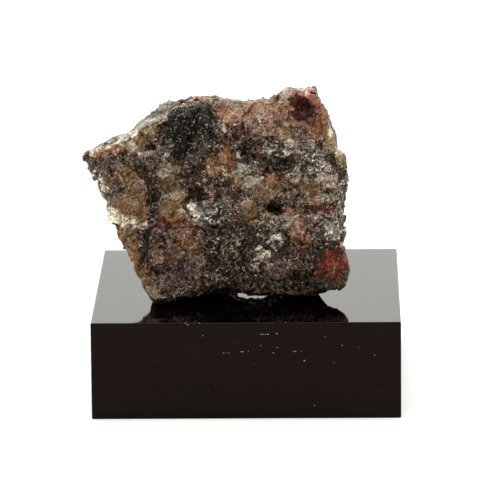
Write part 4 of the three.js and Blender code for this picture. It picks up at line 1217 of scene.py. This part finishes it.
# Dust and nicks on the block: x and z on its front, in millimetres
nicks = [
    (2.4, 14.1), (2.75, 14.12), (3.2, 14.08), (3.6, 14.1), (5.0, 14.2), (12.8, 13.6), (-3.6, 11.0),
    (-3.2, 11.03), (-2.7, 11.0), (-0.7, 11.2), (-0.4, 11.2), (0.4, 11.3), (2.4, 12.2), (5.1, 11.9),
    (4.45, 11.0), (7.7, 11.2), (8.0, 11.25), (8.9, 11.2), (9.4, 9.65), (15.5, 12.2), (20.7, 10.5),
    (-9.7, 16.0), (-7.4, 16.0), (-9.3, 15.7), (6.4, 16.1), (-6.9, 13.9), (11.0, 2.2),
]
dustLook = {
    "perArea": 0.022e6, "smallest": 0.05 * mm, "largest": 0.17 * mm, "slim": (0.7, 0.5, 0.3), "seed": 88,
    "stout": (1.6, 0.9, 0.5), "tilt": 0.3, "sink": 0.0, "floor": 0.3 * mm,
    "dark": (0.2, 0.18, 0.15, 1), "pale": (0.75, 0.7, 0.62, 1),
}
nickLook = {"size": 0.17 * mm, "spin": 0.5, "slim": (0.7, 0.25, 0.5), "stout": (2.2, 0.35, 0.9), "seed": 83}


def dustShape(tree):
    return addNode(tree, "GeometryNodeMeshIcoSphere", {"Radius": 0.5, "Subdivisions": 1}).outputs[0]


def nickTree(material):
    # one flake on each given place, stretched along the block
    tree, entry, leave = geometryTree("nicks", {"Size": 0.1})
    turn = (0, nickLook["spin"], 0)
    spin = randomValue(tree, "FLOAT_VECTOR", tuple(-v for v in turn), turn, nickLook["seed"])
    stretch = randomValue(tree, "FLOAT_VECTOR", nickLook["slim"], nickLook["stout"], nickLook["seed"] + 1)
    placed = addNode(tree, "GeometryNodeInstanceOnPoints", {
        "Points": entry.outputs["Geometry"], "Instance": dustShape(tree), "Rotation": spin,
        "Scale": vectorMaths(tree, "SCALE", {0: stretch, "Scale": entry.outputs["Size"]})})
    return finishTree(tree, leave, placed.outputs[0], material)


def dustMaterial():
    material, tree, shader = newMaterial("dust", {"Roughness": 0.8, "Specular IOR Level": 0.3})
    shade = patchy(tree, objectPlace(tree), 1.3 * mm, 0.35, 0.65)
    feed(tree, shader, {"Base Color": tint(tree, shade, dustLook["dark"], dustLook["pale"])})
    return material


def dustBlock(block):
    material = dustMaterial()
    dust = scatterOn(block, "block_dust", dustShape, dustLook, material)
    places = bpy.data.meshes.new("nicks")
    places.from_pydata([(x * mm, blockLow.y, z * mm) for x, z in nicks], [], [])
    start = newObject("nick_places", places)
    marks = growOn(start, "block_nicks", nickTree(material), {"Size": nickLook["size"]})
    bpy.data.objects.remove(start)
    for piece in (dust, marks):
        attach(piece, "root")
        print(piece.name, len(piece.data.polygons), "faces")


# Studio
studio = {
    "reach": 2.0, "wallY": 1.15, "wallHeight": 1.9, "floorGlow": 0.3, "wallGlow": 1.63,
    "floorColour": (0.86, 0.86, 0.85, 1), "wallColour": (0.8, 0.8, 0.79, 1),
    "glowColour": (1.0, 0.995, 0.95, 1), "sky": 0.12, "skyColour": (1.0, 0.96, 0.9, 1),
    "target": (0, 0, 0.03),  # every light points here
}
# Soft lights: place, width, height and power
lights = {
    "top softbox": ((0.0, -0.02, 0.6), 0.4, 0.4, 2.6),
    "left softbox": ((-0.55, -0.12, 0.3), 0.3, 0.4, 0.8),
    "right softbox": ((0.55, 0.0, 0.3), 0.3, 0.4, 0.75),
    "key": ((-0.16, -0.5, 0.52), 0.1, 0.1, 1.2),
}


def buildSheet(name, corners, colour, glow):
    mesh = bpy.data.meshes.new(name)
    mesh.from_pydata(corners, [], [(0, 1, 2, 3)])
    sheet = newObject(name, mesh)
    paper = newMaterial(name + " paper", {
        "Base Color": colour, "Roughness": 0.9, "Emission Color": studio["glowColour"],
        "Emission Strength": glow})[0]
    mesh.materials.append(paper)


def softLight(name, place, wide, high, power):
    lamp = bpy.data.lights.new(name, "AREA")
    lamp.shape = "RECTANGLE"
    lamp.size = wide
    lamp.size_y = high
    lamp.energy = power
    made = newObject(name, lamp)
    made.location = place
    made.rotation_euler = (Vector(studio["target"]) - Vector(place)).to_track_quat("-Z", "Y").to_euler()


def buildStudio():
    reach, y, top = studio["reach"], studio["wallY"], studio["wallHeight"]
    corners = [(-reach, -reach, 0), (reach, -reach, 0), (reach, y, 0), (-reach, y, 0)]
    buildSheet("floor", corners, studio["floorColour"], studio["floorGlow"])
    corners = [(-reach, y, 0), (reach, y, 0), (reach, y, top), (-reach, y, top)]
    buildSheet("backdrop", corners, studio["wallColour"], studio["wallGlow"])
    world = bpy.data.worlds.new("studio")
    world.use_nodes = True
    sky = world.node_tree.nodes["Background"]
    sky.inputs["Color"].default_value = studio["skyColour"]
    sky.inputs["Strength"].default_value = studio["sky"]
    bpy.context.scene.world = world
    for name, settings in lights.items():
        softLight(name, *settings)
    bpy.context.scene.view_settings.view_transform = "Standard"
    bpy.context.scene.view_settings.look = "None"
    print("studio lit")


# The camera: its place in millimetres, its turns in degrees
view = {"place": (14.74, -760.2, 207.25), "yaw": -1.084, "down": 13.696, "roll": -0.552, "lens": 340.4}


def buildCamera():
    camera = newObject("camera", bpy.data.cameras.new("camera"))
    camera.data.lens = view["lens"]
    camera.data.sensor_width = 36
    camera.data.clip_start = 0.01
    yaw, down, roll = (math.radians(view[key]) for key in ("yaw", "down", "roll"))
    ahead = Vector((math.sin(yaw) * math.cos(down), math.cos(yaw) * math.cos(down), -math.sin(down)))
    right = Vector((math.cos(yaw), -math.sin(yaw), 0))
    up = right.cross(ahead)
    right, up = right * math.cos(roll) + up * math.sin(roll), up * math.cos(roll) - right * math.sin(roll)
    turn = Matrix((right, up, -ahead)).transposed()
    camera.matrix_world = Matrix.Translation(Vector(view["place"]) * mm) @ turn.to_4x4()
    bpy.context.scene.camera = camera


buildCamera()
buildStudio()
dustBlock(buildBlock())
stone = buildStone()
scatterOnStone(stone)
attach(stone, "root")
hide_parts("pegmatite_matrix")
for nodeName, crystalLook in tourmalineLook.items():
    buildTourmaline(nodeName, crystalLook)

print("done")
